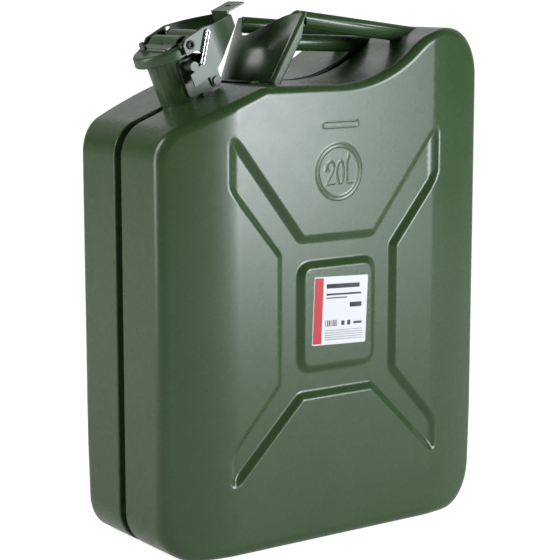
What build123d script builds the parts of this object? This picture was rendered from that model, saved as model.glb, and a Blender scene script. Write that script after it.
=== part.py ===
from build123d import *
from math import cos, radians, sin, sqrt, tan
import os

# A twenty-litre pressed-steel fuel canister: two welded half shells, a tilted filler neck with a
# hinged cap and a cam lever, and a bracket with three carrying tubes on top.
# Millimetres. Origin at the bottom centre, +X towards the back, -X the pouring end, +Z up.

# ---- can body -----------------------------------------------------------------------------
LENGTH = 345.0
WIDTH = 165.0
TOP_Z = 402.5
HUMP_Z = 448.0
SHEET = 1.0
PANEL_HALF = 104.75
EDGE_DROP = 18.3
RIM_R = 8.0
BOTTOM_FRONT_R = 35.0
BOTTOM_BACK_R = 42.0
SHOULDER_R = 32.0
SHOULDER_TILT = 21.5
CREST_X = -76.5
CREST_R = 14.0
HOLLOW_R = 125.0
HOLLOW_START_X = 5.0
HOLLOW_ANGLE = 41.0
HUMP_R = 62.0
GROOVE_HALF = 5.0
GROOVE_DEPTH = 7.0
BEAD_HALF = 2.4
BEAD_RISE = 1.6

# ---- pressed panel ------------------------------------------------------------------------
CHANNEL_DEPTH = 4.5
CHANNEL_TOP_Z = 271.0
CHANNEL_BOTTOM_Z = 134.0
CHANNEL_HALF = 61.5
CHANNEL_END_X = 112.0
PLATEAU_HALF = 39.0
UPPER_ARM = (365.5, 320.5)
LOWER_ARM = (89.5, 60.5)
CHANNEL_SHOULDERS = (259.0, 147.0)
CHANNEL_CORNER_R = 6.0
PAD_SIZE = (79.0, 92.0)
PAD_Z = 202.5
PAD_CORNER_R = 12.0
LABEL_SIZE = (58.0, 61.0)
LABEL_Z = 205.5
LABEL_THICK = 0.3

# ---- neck, in its own tilted frame --------------------------------------------------------
NECK_TILT = 23.0
NECK_FOOT = (-107.5, 389.7)
NECK_R = 19.0
NECK_WALL = 1.4
NECK_TOP = 44.0
NECK_LOW = -14.0
LIP_R = 22.0
LIP_HEIGHT = 3.0
SEAT_R = 27.0
SEAT_DEPTH = 4.0
COLLAR_R = 22.5
COLLAR_RISE = 3.0
VENT_R = 4.0
VENT_WALL = 0.8
VENT_LENGTH = 60.0

# ---- closure, distances along (h, rearwards) and up (s) the neck --------------------------
CAP_R = 28.0
CAP_LOW = 40.0
CAP_TOP = 49.5
CAP_SHEET = 1.2
GASKET_R = (15.5, 25.5)
GASKET_SPAN = (44.3, 47.3)
BRIDGE_FRONT = -9.0
BRIDGE_SHEET = 1.5
FRONT_ROLL = (0.8, 14.0, 5.8)
REAR_ROLL = (19.0, 30.0, 3.8)
LUG_R = 6.5
PIVOT = (7.5, 48.0)
HINGE = (25.0, 7.0)
CATCH = (3.0, 30.5)
EAR_Y = (19.0, 21.0)
ARM_Y = (21.3, 23.1)
LUG_Y = (28.3, 30.1)
CHEEK_Y = (30.7, 32.5)
LEVER_SHEET = CHEEK_Y[1] - CHEEK_Y[0]
PIN_R = 2.6
CAP_RIVET_R = 1.8
CATCH_PIN_R = 2.6
ROLLER_R = 4.3
ROLLER_FIT = 0.35
ROLLER_GAP = (0.6, 0.4)
RUN_FIT = 0.05
HINGE_HEAD = (4.0, 0.3, 1.4)
STUD_HEAD = (4.2, 0.6, 1.7)
PIVOT_HEAD = (3.8, 0.3, 1.5)
LEVER_BEND_H = 29.0
LEVER_BACK_H = 66.0
LEVER_CLOSING = (1.0, -0.7)
LEVER_BACK_HALF = 13.0
LEVER_NOSE = ((5.0, 54.0), (1.0, 50.0), (1.0, 42.0))
LEVER_HEEL_S = 39.5
LEVER_BELLY = ((46.0, 33.0), (30.0, 22.0))
LEVER_MOUTH = ((9.0, 28.0), (15.5, 34.5), (12.0, 41.2), (3.0, 41.0))
LEVER_REACH = -30.0
TAB_S = 53.5
TAB_ROOT_S = 44.0
TAB_END_H = 84.0
TAB_FLARE = 0.4
TAB_SLOT = (9.0, 3.0)
LOCK_AT = (26.5, 49.5)
LOCK_FOOT = (11.4, 31.0)
LOCK_WIRE_R = 1.25
LOCK_Y = (30.9, 34.4)
TAB_DISC_R = 4.0
TAB_DISC_Y = 12.0
TAB_REACH = 3.5
TAB_HALF = 20.0
TAB_SHEET = 1.2
ARM_BACK_H = 30.0
ARM_TOP_R = 4.5
EAR_OUTLINE = ((-4, 4), (29, 1), (31, 12), (22, 34), (8, 36), (-4, 36))
EAR_ROUND = 3.0
EAR_FRONT = ((0.0, 20.0), (38.0, 60.0))
EAR_BACK = ((51.0, 20.0), (60.0, 60.0))
EAR_ABOVE = ((19.0, 60.0), (60.0, 52.0))
EAR_BELOW = ((19.0, -8.0), (60.0, 52.0))
ARM_TOP = ((21, CAP_TOP), (30, CAP_TOP), (29, CAP_TOP + 4), (21, CAP_TOP + 4))
CHEEK_TOP = ((26, 56), (LEVER_BACK_H + 2, 49.5))
JAW = ((12, 15), (-2, 13.5), (-2, 28))
WINDOW_AT = (28.5, 51.5)
WINDOW_SIDE = 4.8
WINDOW_TURN = -12.0
LEVER_RATIO = 1.6

# ---- carrying handles ---------------------------------------------------------------------
BRACKET_FOOT_X = -42.5
BRACKET_TOP = (-14.5, 463.0)
BRACKET_SHEET = 2.0
BRACKET_FOOT_HALF = 38.5
BRACKET_TOP_HALF = 48.0
BRACKET_BOW = 12.0
BRACKET_PEAK_Y = 40.0
BRACKET_PEAK_ROUND = 9.0
BRACKET_PEAK_FALL = 4.0
BRACKET_VALLEY_Z = 444.0
BRACKET_FAR_DROP = 6.0
BRACKET_FLANGE = 9.0
BRACKET_TAPER = 20.0
FOOT_REACH = 8.0
FOOT_HALF = 32.0
TUBE_R = 7.5
TUBE_WALL = 1.2
OUTER_TUBE_Y = 39.0
OUTER_TUBE_Z = (455.2, 439.5)
MIDDLE_TUBE_Z = (436.0, 431.0)
TUBE_END_X = 128.0

HALF_WIDTH = WIDTH / 2
SIDE_RUN = LENGTH / 2 - PANEL_HALF
SIDE_R = (SIDE_RUN**2 + EDGE_DROP**2) / (2 * EDGE_DROP)
HUMP_START_X = HOLLOW_START_X + HOLLOW_R * sin(radians(HOLLOW_ANGLE))
HUMP_START_Z = TOP_Z + HOLLOW_R * (1 - cos(radians(HOLLOW_ANGLE)))
HUMP_TOP_X = HUMP_START_X + HUMP_R * sin(radians(HOLLOW_ANGLE))
HUMP_TOP_Z = HUMP_START_Z + HUMP_R * (1 - cos(radians(HOLLOW_ANGLE)))
HUMP_END_R = LENGTH / 2 - HUMP_TOP_X
SHOULDER_END_Z = TOP_Z + (-LENGTH / 2 - CREST_X) * tan(radians(SHOULDER_TILT))

NECK_C, NECK_S = cos(radians(NECK_TILT)), sin(radians(NECK_TILT))


def neck_point(h, s, y=0.0):
    """A point of the tilted neck frame in the can's frame: h rearwards, s along the neck."""
    return Vector(NECK_FOOT[0] + h * NECK_C - s * NECK_S, y, NECK_FOOT[1] + h * NECK_S + s * NECK_C)


def neck_level(s):
    """A plane square to the neck, s above its foot."""
    return Plane(origin=neck_point(0, s), x_dir=(NECK_C, 0, NECK_S), z_dir=(-NECK_S, 0, NECK_C))


def neck_side(y):
    """A plane along the neck at width y, drawn in (h, s), its normal towards -Y."""
    return Plane(origin=neck_point(0, 0, y), x_dir=(NECK_C, 0, NECK_S), z_dir=(0, -1, 0))


os.makedirs("parts", exist_ok=True)


def save(piece, label):
    """Name a finished piece and write it."""
    piece.part.label = label
    export_step(piece.part, f"parts/{label}.step")


# ---- can body -----------------------------------------------------------------------------
def can_outline(inset):
    """The side outline of the can, drawn in by inset, added to the open sketch."""
    with BuildSketch(mode=Mode.PRIVATE) as outline:
        with BuildLine():
            foot = Line((-LENGTH / 2, 60), (-LENGTH / 2, 0))
            base = Line(foot @ 1, (LENGTH / 2, 0))
            back = Line(base @ 1, (LENGTH / 2, HUMP_TOP_Z - HUMP_END_R))
            RadiusArc(back @ 1, (HUMP_TOP_X, HUMP_TOP_Z), -HUMP_END_R)
            RadiusArc((HUMP_TOP_X, HUMP_TOP_Z), (HUMP_START_X, HUMP_START_Z), -HUMP_R)
            RadiusArc((HUMP_START_X, HUMP_START_Z), (HOLLOW_START_X, TOP_Z), HOLLOW_R)
            top = Line((HOLLOW_START_X, TOP_Z), (CREST_X, TOP_Z))
            slope = Line(top @ 1, (-LENGTH / 2, SHOULDER_END_Z))
            Line(slope @ 1, foot @ 0)
        make_face()
        fillet(outline.vertices().sort_by_distance((-LENGTH / 2, 0))[0], BOTTOM_FRONT_R)
        fillet(outline.vertices().sort_by_distance((LENGTH / 2, 0))[0], BOTTOM_BACK_R)
        fillet(outline.vertices().sort_by_distance((-LENGTH / 2, SHOULDER_END_Z))[0], SHOULDER_R)
        fillet(outline.vertices().sort_by_distance((CREST_X, TOP_Z))[0], CREST_R)
        if inset:
            offset(amount=-inset, kind=Kind.INTERSECTION)
    add(outline.sketch)


def channel_outline(grow):
    """The crossed channel of the broad face, grown outwards by grow, with the pad standing in it."""
    half = [
        (0, CHANNEL_TOP_Z),
        (PLATEAU_HALF, CHANNEL_TOP_Z),
        (CHANNEL_END_X, UPPER_ARM[0]),
        (CHANNEL_END_X, UPPER_ARM[1]),
        (CHANNEL_HALF, CHANNEL_SHOULDERS[0]),
        (CHANNEL_HALF, CHANNEL_SHOULDERS[1]),
        (CHANNEL_END_X, LOWER_ARM[0]),
        (CHANNEL_END_X, LOWER_ARM[1]),
        (PLATEAU_HALF, CHANNEL_BOTTOM_Z),
        (0, CHANNEL_BOTTOM_Z),
    ]
    mirrored = [(-x, z) for x, z in reversed(half[1:-1])]
    with BuildSketch(mode=Mode.PRIVATE) as channel:
        with BuildLine():
            Polyline(*half, *mirrored, close=True)
        make_face()
        fillet(channel.vertices(), CHANNEL_CORNER_R)
        if grow:
            offset(amount=grow)
        with Locations((0, PAD_Z)):
            pad_width, pad_height = PAD_SIZE[0] - 2 * grow, PAD_SIZE[1] - 2 * grow
            RectangleRounded(pad_width, pad_height, PAD_CORNER_R - grow, mode=Mode.SUBTRACT)
    add(channel.sketch)


def half_can(inset):
    """The near half of the can as a solid block, drawn in by inset on every face."""
    with BuildPart() as block:
        with BuildSketch(Plane.XZ.offset(GROOVE_HALF + inset)):
            can_outline(inset)
        extrude(amount=HALF_WIDTH - GROOVE_HALF - 2 * inset)
        with BuildSketch(Plane.XY):
            with BuildLine():
                front = RadiusArc(
                    (-LENGTH / 2, -HALF_WIDTH + EDGE_DROP + inset),
                    (-PANEL_HALF, -HALF_WIDTH + inset),
                    -SIDE_R,
                )
                panel = Line(front @ 1, (PANEL_HALF, -HALF_WIDTH + inset))
                back = RadiusArc(
                    panel @ 1, (LENGTH / 2, -HALF_WIDTH + EDGE_DROP + inset), -SIDE_R
                )
                Polyline(back @ 1, (LENGTH / 2, 0), (-LENGTH / 2, 0), front @ 0)
            make_face()
        extrude(amount=HUMP_Z + RIM_R, mode=Mode.INTERSECT)
        rim = [e for e in block.edges() if is_rim(e, inset)]
        fillet(rim, RIM_R - inset)
        with BuildSketch(Plane.XZ.offset(HALF_WIDTH - CHANNEL_DEPTH - inset)):
            channel_outline(inset)
        extrude(amount=CHANNEL_DEPTH * 2, mode=Mode.SUBTRACT)
        with BuildSketch(Plane.XZ):
            can_outline(GROOVE_DEPTH + inset)
        extrude(amount=GROOVE_HALF + inset)
        with BuildSketch(neck_level(-SEAT_DEPTH - inset)):
            Circle(SEAT_R + inset)
        extrude(amount=4 * SEAT_DEPTH, mode=Mode.SUBTRACT)
    return block.part


def is_rim(edge, inset):
    """True for an edge between the broad face and the narrow walls, away from the groove."""
    box = edge.bounding_box()
    broad = box.max.Y < -(HALF_WIDTH - EDGE_DROP - inset) + 0.1
    crease = box.size.X < 0.01 and abs(abs(box.center().X) - PANEL_HALF) < 0.1
    return broad and not crease


outer_half = half_can(0)
inner_half = half_can(SHEET)

with BuildPart() as near_shell:
    add(outer_half)
    add(inner_half, mode=Mode.SUBTRACT)
    with BuildSketch(neck_level(-30)):
        Circle(NECK_R)
    extrude(amount=60, mode=Mode.SUBTRACT)
save(near_shell, "near_shell")

with BuildPart() as far_shell:
    add(near_shell.part)
    mirror(about=Plane.XZ, mode=Mode.REPLACE)
save(far_shell, "far_shell")

with BuildPart() as seam_weld:
    with BuildSketch(Plane.XZ.offset(-BEAD_HALF)):
        can_outline(GROOVE_DEPTH - BEAD_RISE)
        with BuildSketch(mode=Mode.PRIVATE) as floor:
            can_outline(GROOVE_DEPTH)
        add(floor.sketch, mode=Mode.SUBTRACT)
    extrude(amount=2 * BEAD_HALF)
    with BuildSketch(neck_level(-30)):
        Circle(SEAT_R + SHEET)
    extrude(amount=60, mode=Mode.SUBTRACT)
save(seam_weld, "seam_weld")


# ---- neck ---------------------------------------------------------------------------------
with BuildPart() as filler_neck:
    with BuildSketch(neck_level(NECK_LOW)):
        Circle(NECK_R)
    extrude(amount=NECK_TOP - NECK_LOW)
    with BuildSketch(neck_level(NECK_TOP - LIP_HEIGHT)):
        Circle(LIP_R)
    extrude(amount=LIP_HEIGHT)
    rims = filler_neck.edges().filter_by(GeomType.CIRCLE)
    fillet([e for e in rims if abs(e.radius - LIP_R) < 0.01], LIP_HEIGHT * 0.45)
    with BuildSketch(neck_level(NECK_LOW)):
        Circle(NECK_R - NECK_WALL)
    extrude(amount=NECK_TOP - NECK_LOW, mode=Mode.SUBTRACT)
save(filler_neck, "filler_neck")

with BuildPart() as neck_collar:
    with BuildSketch(neck_level(-SEAT_DEPTH)):
        Circle(COLLAR_R)
    extrude(amount=COLLAR_RISE)
    upper_rim = neck_collar.edges().filter_by(GeomType.CIRCLE).sort_by(Axis.Z)[-1]
    chamfer(upper_rim, COLLAR_RISE * 0.8)
    with BuildSketch(neck_level(-SEAT_DEPTH)):
        Circle(NECK_R)
    extrude(amount=COLLAR_RISE, mode=Mode.SUBTRACT)
save(neck_collar, "neck_collar")

with BuildPart() as vent_tube:
    with BuildSketch(neck_level(-VENT_LENGTH)):
        with Locations((NECK_R - NECK_WALL - VENT_R, 0)):
            Circle(VENT_R)
            Circle(VENT_R - VENT_WALL, mode=Mode.SUBTRACT)
    extrude(amount=VENT_LENGTH + NECK_TOP - 4)
save(vent_tube, "vent_tube")

def riveted(centre, shank_r, inner_y, outer_y, head):
    """A shank out to the face at outer_y with a head there, made again on the other side."""
    head_r, sunk, thick = head
    for side in (1, -1):
        with BuildPart(mode=Mode.PRIVATE) as rivet:
            with BuildSketch(neck_side(-side * inner_y)):
                with Locations(centre):
                    Circle(shank_r)
            extrude(amount=side * (outer_y + sunk - inner_y))
            with BuildSketch(neck_side(-side * (outer_y + sunk))):
                with Locations(centre):
                    Circle(head_r)
            extrude(amount=side * thick)
        add(rivet.part)


# A saddle of bent plate: two ears beside the neck, joined by a web behind it.
with BuildPart() as hinge_bracket:
    with BuildSketch(neck_side(EAR_Y[1])):
        with BuildLine():
            Polyline(*EAR_OUTLINE, close=True)
        ears = make_face()
        fillet(ears.vertices(), EAR_ROUND)
        with Locations(HINGE, CATCH):
            Circle(PIN_R, mode=Mode.SUBTRACT)
    extrude(amount=2 * EAR_Y[1])
    with BuildSketch(neck_side(EAR_Y[0])):
        for centre, size in (EAR_FRONT, EAR_BACK, EAR_ABOVE, EAR_BELOW):
            with Locations(centre):
                Rectangle(*size)
    extrude(amount=2 * EAR_Y[0], mode=Mode.SUBTRACT)
save(hinge_bracket, "hinge_bracket")

with BuildPart() as hinge_pin:
    riveted(HINGE, PIN_R, 0, ARM_Y[1], HINGE_HEAD)
save(hinge_pin, "hinge_pin")

# Two studs with rollers beside the neck: the lever's jaws draw down on them.
with BuildPart() as catch_studs:
    riveted(CATCH, CATCH_PIN_R, EAR_Y[0], CHEEK_Y[1], STUD_HEAD)
save(catch_studs, "catch_studs")

with BuildPart() as catch_rollers:
    for side in (1, -1):
        with BuildSketch(neck_side(-side * (ARM_Y[1] + ROLLER_GAP[0]))):
            with Locations(CATCH):
                Circle(ROLLER_R)
                Circle(CATCH_PIN_R, mode=Mode.SUBTRACT)
        extrude(amount=side * (CHEEK_Y[1] + ROLLER_GAP[1] - ARM_Y[1] - ROLLER_GAP[0]))
save(catch_rollers, "catch_rollers")

# ---- cap ----------------------------------------------------------------------------------
def bridge_profile():
    """The bridge's sheet from the side: a flat front edge and two half-round rolls."""
    low, high = CAP_TOP, CAP_TOP + BRIDGE_SHEET
    front_start, front_end, front_rise = FRONT_ROLL
    rear_start, rear_end, rear_rise = REAR_ROLL
    front_middle, rear_middle = (front_start + front_end) / 2, (rear_start + rear_end) / 2
    with BuildSketch(mode=Mode.PRIVATE) as sheet:
        with BuildLine():
            lip = Polyline((BRIDGE_FRONT, low), (BRIDGE_FRONT, high), (front_start, high))
            crown = ThreePointArc(lip @ 1, (front_middle, low + front_rise), (front_end, high))
            dip = Line(crown @ 1, (rear_start, high))
            hump = ThreePointArc(dip @ 1, (rear_middle, low + rear_rise), (rear_end, high))
            back = Polyline(hump @ 1, (rear_end, low), (rear_end - BRIDGE_SHEET, low))
            under_hump = ThreePointArc(
                back @ 1, (rear_middle, low + rear_rise - BRIDGE_SHEET), (rear_start + BRIDGE_SHEET, low)
            )
            under_dip = Line(under_hump @ 1, (front_end - BRIDGE_SHEET, low))
            under_crown = ThreePointArc(
                under_dip @ 1,
                (front_middle, low + front_rise - BRIDGE_SHEET),
                (front_start + BRIDGE_SHEET, low),
            )
            Line(under_crown @ 1, lip @ 0)
        make_face()
    add(sheet.sketch)


def lug_outline():
    """A bridge end: round about the pivot, rising to the front roll's top, with the pivot's hole."""
    with BuildSketch(mode=Mode.PRIVATE) as lug:
        with Locations(PIVOT):
            Circle(LUG_R)
        with Locations((FRONT_ROLL[0], CAP_TOP), (FRONT_ROLL[1], CAP_TOP)):
            Circle(BRIDGE_SHEET)
        make_hull()
        with Locations(PIVOT):
            Circle(PIN_R, mode=Mode.SUBTRACT)
    add(lug.sketch)


with BuildPart() as lid_cap:
    with BuildSketch(neck_level(CAP_LOW)):
        Circle(CAP_R)
    extrude(amount=CAP_TOP - CAP_LOW)
    fillet(lid_cap.edges().filter_by(GeomType.CIRCLE).sort_by(Axis.Z)[-1], 3)
    with BuildSketch(neck_level(CAP_LOW)):
        Circle(CAP_R - CAP_SHEET)
    extrude(amount=CAP_TOP - CAP_LOW - CAP_SHEET, mode=Mode.SUBTRACT)
    with BuildSketch(neck_level(CAP_LOW)):
        Circle(CAP_RIVET_R)
    extrude(amount=CAP_TOP - CAP_LOW, mode=Mode.SUBTRACT)
save(lid_cap, "lid_cap")

with BuildPart() as cap_gasket:
    with BuildSketch(neck_level(GASKET_SPAN[0])):
        Circle(GASKET_R[1])
        Circle(GASKET_R[0], mode=Mode.SUBTRACT)
    extrude(amount=GASKET_SPAN[1] - GASKET_SPAN[0])
save(cap_gasket, "cap_gasket")

with BuildPart() as gasket_plate:
    with BuildSketch(neck_level(GASKET_SPAN[1])):
        Circle(GASKET_R[1])
    extrude(amount=CAP_TOP - CAP_SHEET - GASKET_SPAN[1])
    with BuildSketch(neck_level(GASKET_SPAN[0])):
        Circle(GASKET_R[0])
    extrude(amount=GASKET_SPAN[1] - GASKET_SPAN[0])
    with BuildSketch(neck_level(GASKET_SPAN[0])):
        Circle(CAP_RIVET_R)
    extrude(amount=CAP_TOP - GASKET_SPAN[0], mode=Mode.SUBTRACT)
save(gasket_plate, "gasket_plate")

# The rolled bridge over the cap, with a lug at each end for the lever's pivot.
with BuildPart() as lid_bridge:
    with BuildSketch(neck_side(ARM_Y[0])):
        bridge_profile()
    extrude(amount=2 * ARM_Y[0])
    with BuildSketch(neck_level(CAP_TOP)):
        with Locations(((FRONT_ROLL[0] + FRONT_ROLL[1]) / 2, 0)):
            Rectangle(FRONT_ROLL[1] - FRONT_ROLL[0] - 2 * BRIDGE_SHEET, 2 * LUG_Y[0])
            Rectangle(FRONT_ROLL[1], 2 * ARM_Y[0] - 2 * BRIDGE_SHEET, mode=Mode.SUBTRACT)
    extrude(amount=BRIDGE_SHEET)
    for side in (1, -1):
        with BuildSketch(neck_side(-side * LUG_Y[0])):
            lug_outline()
        extrude(amount=side * (LUG_Y[1] - LUG_Y[0]))
    with BuildSketch(neck_level(CAP_TOP)):
        Circle(CAP_RIVET_R)
    extrude(amount=2 * FRONT_ROLL[2], mode=Mode.SUBTRACT)
save(lid_bridge, "lid_bridge")

with BuildPart() as cap_rivet:
    with BuildSketch(neck_level(GASKET_SPAN[0])):
        Circle(CAP_RIVET_R)
    extrude(amount=CAP_TOP + BRIDGE_SHEET - GASKET_SPAN[0])
save(cap_rivet, "cap_rivet")

for arm_name, side in (("lid_arm_near", 1), ("lid_arm_far", -1)):
    with BuildPart() as lid_arm:
        with BuildSketch(neck_side(-side * ARM_Y[0])):
            with BuildSketch(mode=Mode.PRIVATE) as strap:
                with Locations(HINGE):
                    Circle(2 * PIN_R)
                with Locations((ARM_BACK_H - ARM_TOP_R, CAP_TOP)):
                    Circle(ARM_TOP_R)
                make_hull()
            add(strap.sketch)
            with BuildLine():
                Polyline(*ARM_TOP, close=True)
            make_face()
            with Locations(HINGE):
                Circle(PIN_R + RUN_FIT, mode=Mode.SUBTRACT)
        extrude(amount=side * (ARM_Y[1] - ARM_Y[0]))
    save(lid_arm, arm_name)

with BuildPart() as lever_pivots:
    riveted(PIVOT, PIN_R, LUG_Y[0], CHEEK_Y[1], PIVOT_HEAD)
save(lever_pivots, "lever_pivots")

with BuildPart() as front_tab:
    with BuildSketch(neck_level(CAP_TOP)):
        with Locations((BRIDGE_FRONT - TAB_REACH / 2, 0)):
            Rectangle(TAB_REACH, 2 * TAB_HALF)
    extrude(amount=TAB_SHEET)
    disc_plane = Plane(
        origin=neck_point(BRIDGE_FRONT - TAB_REACH, CAP_TOP + TAB_DISC_R, TAB_DISC_Y),
        x_dir=(0, 1, 0),
        z_dir=(NECK_C, 0, NECK_S),
    )
    with BuildSketch(disc_plane):
        Circle(TAB_DISC_R)
    extrude(amount=2 * TAB_SHEET)
save(front_tab, "front_tab")

# ---- cam lever ----------------------------------------------------------------------------
def turned(point, centre, degrees):
    """A point of the (h, s) plane turned about a centre, positive rearwards to forwards."""
    angle = radians(degrees)
    h, s = point[0] - centre[0], point[1] - centre[1]
    return (centre[0] + h * cos(angle) - s * sin(angle), centre[1] + h * sin(angle) + s * cos(angle))


def roller_seen_by_lever(opening):
    """Where the catch roller stands in the lever's own frame when the lid has opened so far."""
    pivot_now = turned(PIVOT, HINGE, -opening)
    swung = turned(CATCH, pivot_now, -(LEVER_RATIO - 1) * opening)
    return (swung[0] - pivot_now[0] + PIVOT[0], swung[1] - pivot_now[1] + PIVOT[1])


def roller_way(clearance):
    """The slot that the catch roller needs in the cheeks as the lever lifts."""
    steps = [roller_seen_by_lever(opening) for opening in range(0, 41, 4)]
    for here, there in zip(steps, steps[1:]):
        with BuildSketch(mode=Mode.PRIVATE) as stretch:
            with Locations(here, there):
                Circle(ROLLER_R + clearance)
            make_hull()
        add(stretch.sketch, mode=Mode.SUBTRACT)


def strip_plan(inset):
    """The lever seen along the neck: cheeks that run straight, then close in to the back plate."""
    half = CHEEK_Y[1] - inset
    back_half, back = LEVER_BACK_HALF + LEVER_SHEET - inset, LEVER_BACK_H - inset
    bend = LEVER_BEND_H - inset * 0.25
    with BuildSketch(mode=Mode.PRIVATE) as plan:
        with BuildLine():
            Polyline((bend, -half), (LEVER_REACH, -half), (LEVER_REACH, half), (bend, half))
            Spline((bend, half), (back, back_half), tangents=((1, 0), LEVER_CLOSING))
            Line((back, back_half), (back, -back_half))
            Spline(
                (back, -back_half), (bend, -half), tangents=((-LEVER_CLOSING[0], LEVER_CLOSING[1]), (-1, 0))
            )
        make_face()
    add(plan.sketch, mode=Mode.SUBTRACT if inset else Mode.ADD)


with BuildPart() as lever:
    with BuildSketch(neck_side(CHEEK_Y[1])):
        with BuildLine():
            nose = Line(LEVER_NOSE[0], CHEEK_TOP[0])
            ridge = Line(nose @ 1, CHEEK_TOP[1])
            heel = Line(ridge @ 1, (CHEEK_TOP[1][0], LEVER_HEEL_S))
            belly = Spline(heel @ 1, *LEVER_BELLY, JAW[0], tangents=((-1, -0.3), (-1, -0.15)))
            Polyline(belly @ 1, JAW[1], JAW[2], LEVER_NOSE[2], LEVER_NOSE[1], nose @ 0)
        make_face()
        with BuildLine():
            mouth = Line((LEVER_REACH, LEVER_MOUTH[0][1]), LEVER_MOUTH[0])
            inner = ThreePointArc(mouth @ 1, LEVER_MOUTH[1], LEVER_MOUTH[2])
            Polyline(inner @ 1, LEVER_MOUTH[3], (LEVER_REACH, LEVER_MOUTH[3][1]), mouth @ 0)
        make_face(mode=Mode.SUBTRACT)
        roller_way(ROLLER_FIT)
        with Locations(PIVOT):
            Circle(PIN_R + RUN_FIT, mode=Mode.SUBTRACT)
        with Locations(LOCK_AT):
            Circle(LOCK_WIRE_R + RUN_FIT, mode=Mode.SUBTRACT)
    extrude(amount=2 * CHEEK_Y[1])
    with BuildSketch(neck_level(0)):
        strip_plan(0)
        strip_plan(LEVER_SHEET)
    extrude(amount=80, mode=Mode.INTERSECT)
    with BuildSketch(neck_side(LEVER_BACK_HALF - 0.5)):
        with BuildLine():
            Polyline(
                (LEVER_BACK_H - LEVER_SHEET, TAB_ROOT_S),
                (LEVER_BACK_H - LEVER_SHEET, TAB_S),
                (TAB_END_H, TAB_S + TAB_FLARE),
                (TAB_END_H, TAB_S + TAB_FLARE - LEVER_SHEET),
                (LEVER_BACK_H, TAB_S - LEVER_SHEET),
                (LEVER_BACK_H, TAB_ROOT_S),
                close=True,
            )
        make_face()
    extrude(amount=2 * LEVER_BACK_HALF - 1)
    with BuildSketch(neck_level(TAB_S - 4)):
        with Locations((TAB_END_H - TAB_SLOT[0], 0)):
            SlotOverall(*TAB_SLOT, rotation=90)
    extrude(amount=8, mode=Mode.SUBTRACT)
    with BuildSketch(neck_side(CHEEK_Y[1] + 1)):
        with Locations(WINDOW_AT):
            Rectangle(WINDOW_SIDE, WINDOW_SIDE, rotation=WINDOW_TURN)
    extrude(amount=CHEEK_Y[1] - LEVER_BACK_HALF, mode=Mode.SUBTRACT)
save(lever, "lever")

# ---- locking pin --------------------------------------------------------------------------
def hairpin_outline(spacing):
    """Two straight strands side by side with round ends, from the hole down to the foot."""
    with BuildSketch(mode=Mode.PRIVATE) as loop:
        with Locations(LOCK_AT, LOCK_FOOT):
            Circle(spacing)
        make_hull()
    with BuildSketch(mode=Mode.PRIVATE) as gap:
        with Locations(LOCK_AT, LOCK_FOOT):
            Circle(spacing - 2 * LOCK_WIRE_R)
        make_hull()
    add(loop.sketch)
    add(gap.sketch, mode=Mode.SUBTRACT)


with BuildPart() as locking_pin:
    with BuildSketch(neck_side(-LOCK_Y[0])):
        with Locations(LOCK_AT):
            Circle(LOCK_WIRE_R)
    extrude(amount=LOCK_Y[1] - LOCK_Y[0] + LOCK_WIRE_R)
    with BuildSketch(neck_side(-LOCK_Y[1] + LOCK_WIRE_R)):
        hairpin_outline(2.2 * LOCK_WIRE_R)
    extrude(amount=2 * LOCK_WIRE_R)
save(locking_pin, "locking_pin")

# ---- label --------------------------------------------------------------------------------
with BuildPart() as label:
    with BuildSketch(Plane.XZ.offset(HALF_WIDTH)):
        with Locations((0, LABEL_Z)):
            Rectangle(*LABEL_SIZE)
    extrude(amount=LABEL_THICK)
save(label, "label")

# ---- carrying handles ---------------------------------------------------------------------
BRACKET_LEAN = (BRACKET_TOP[0] - BRACKET_FOOT_X, BRACKET_TOP[1] - TOP_Z)
BRACKET_RUN = sqrt(BRACKET_LEAN[0] ** 2 + BRACKET_LEAN[1] ** 2)
LEAN_C, LEAN_S = BRACKET_LEAN[1] / BRACKET_RUN, BRACKET_LEAN[0] / BRACKET_RUN
BRACKET_DEPTH = BRACKET_SHEET + BRACKET_FLANGE
FOOT_SETBACK = BRACKET_BOW * (1 - (FOOT_HALF / (BRACKET_TOP_HALF + 1)) ** 2)


def bracket_plane(back):
    """The plane of the leaning bracket, drawn in (width, height up the plate), moved rearwards."""
    foot = Vector(BRACKET_FOOT_X, 0, TOP_Z) + Vector(LEAN_C, 0, -LEAN_S) * back
    return Plane(origin=foot, x_dir=(0, 1, 0), z_dir=(LEAN_C, 0, -LEAN_S))


def behind_bow(front, back, height):
    """The leaning space between the bowed front, moved rearwards by front, and a flat back."""
    start, end = BRACKET_FOOT_X + front / LEAN_C, BRACKET_FOOT_X + back
    with BuildPart() as space:
        with BuildSketch(Plane.XY.offset(TOP_Z)):
            with BuildLine():
                bow = ThreePointArc(
                    (start, -BRACKET_TOP_HALF - 1), (start - BRACKET_BOW, 0), (start, BRACKET_TOP_HALF + 1)
                )
                Polyline(bow @ 1, (end, BRACKET_TOP_HALF + 1), (end, -BRACKET_TOP_HALF - 1), bow @ 0)
            make_face()
        extrude(amount=height, dir=(LEAN_S, 0, LEAN_C))
    return space.part


def bracket_hollow():
    """The space between the bracket's flanges, behind its plate."""
    foot_half, top_half = BRACKET_FOOT_HALF - BRACKET_SHEET, BRACKET_TOP_HALF - BRACKET_SHEET
    with BuildPart() as hollow:
        with BuildSketch(bracket_plane(-BRACKET_BOW)):
            with BuildLine():
                Polyline(
                    (-foot_half, -BRACKET_DEPTH),
                    (foot_half, -BRACKET_DEPTH),
                    (top_half, BRACKET_RUN + BRACKET_DEPTH),
                    (-top_half, BRACKET_RUN + BRACKET_DEPTH),
                    close=True,
                )
            make_face()
        extrude(amount=BRACKET_BOW + 2 * BRACKET_DEPTH)
        add(behind_bow(BRACKET_SHEET, 3 * BRACKET_DEPTH, 2 * BRACKET_RUN), mode=Mode.INTERSECT)
    return hollow.part


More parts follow.
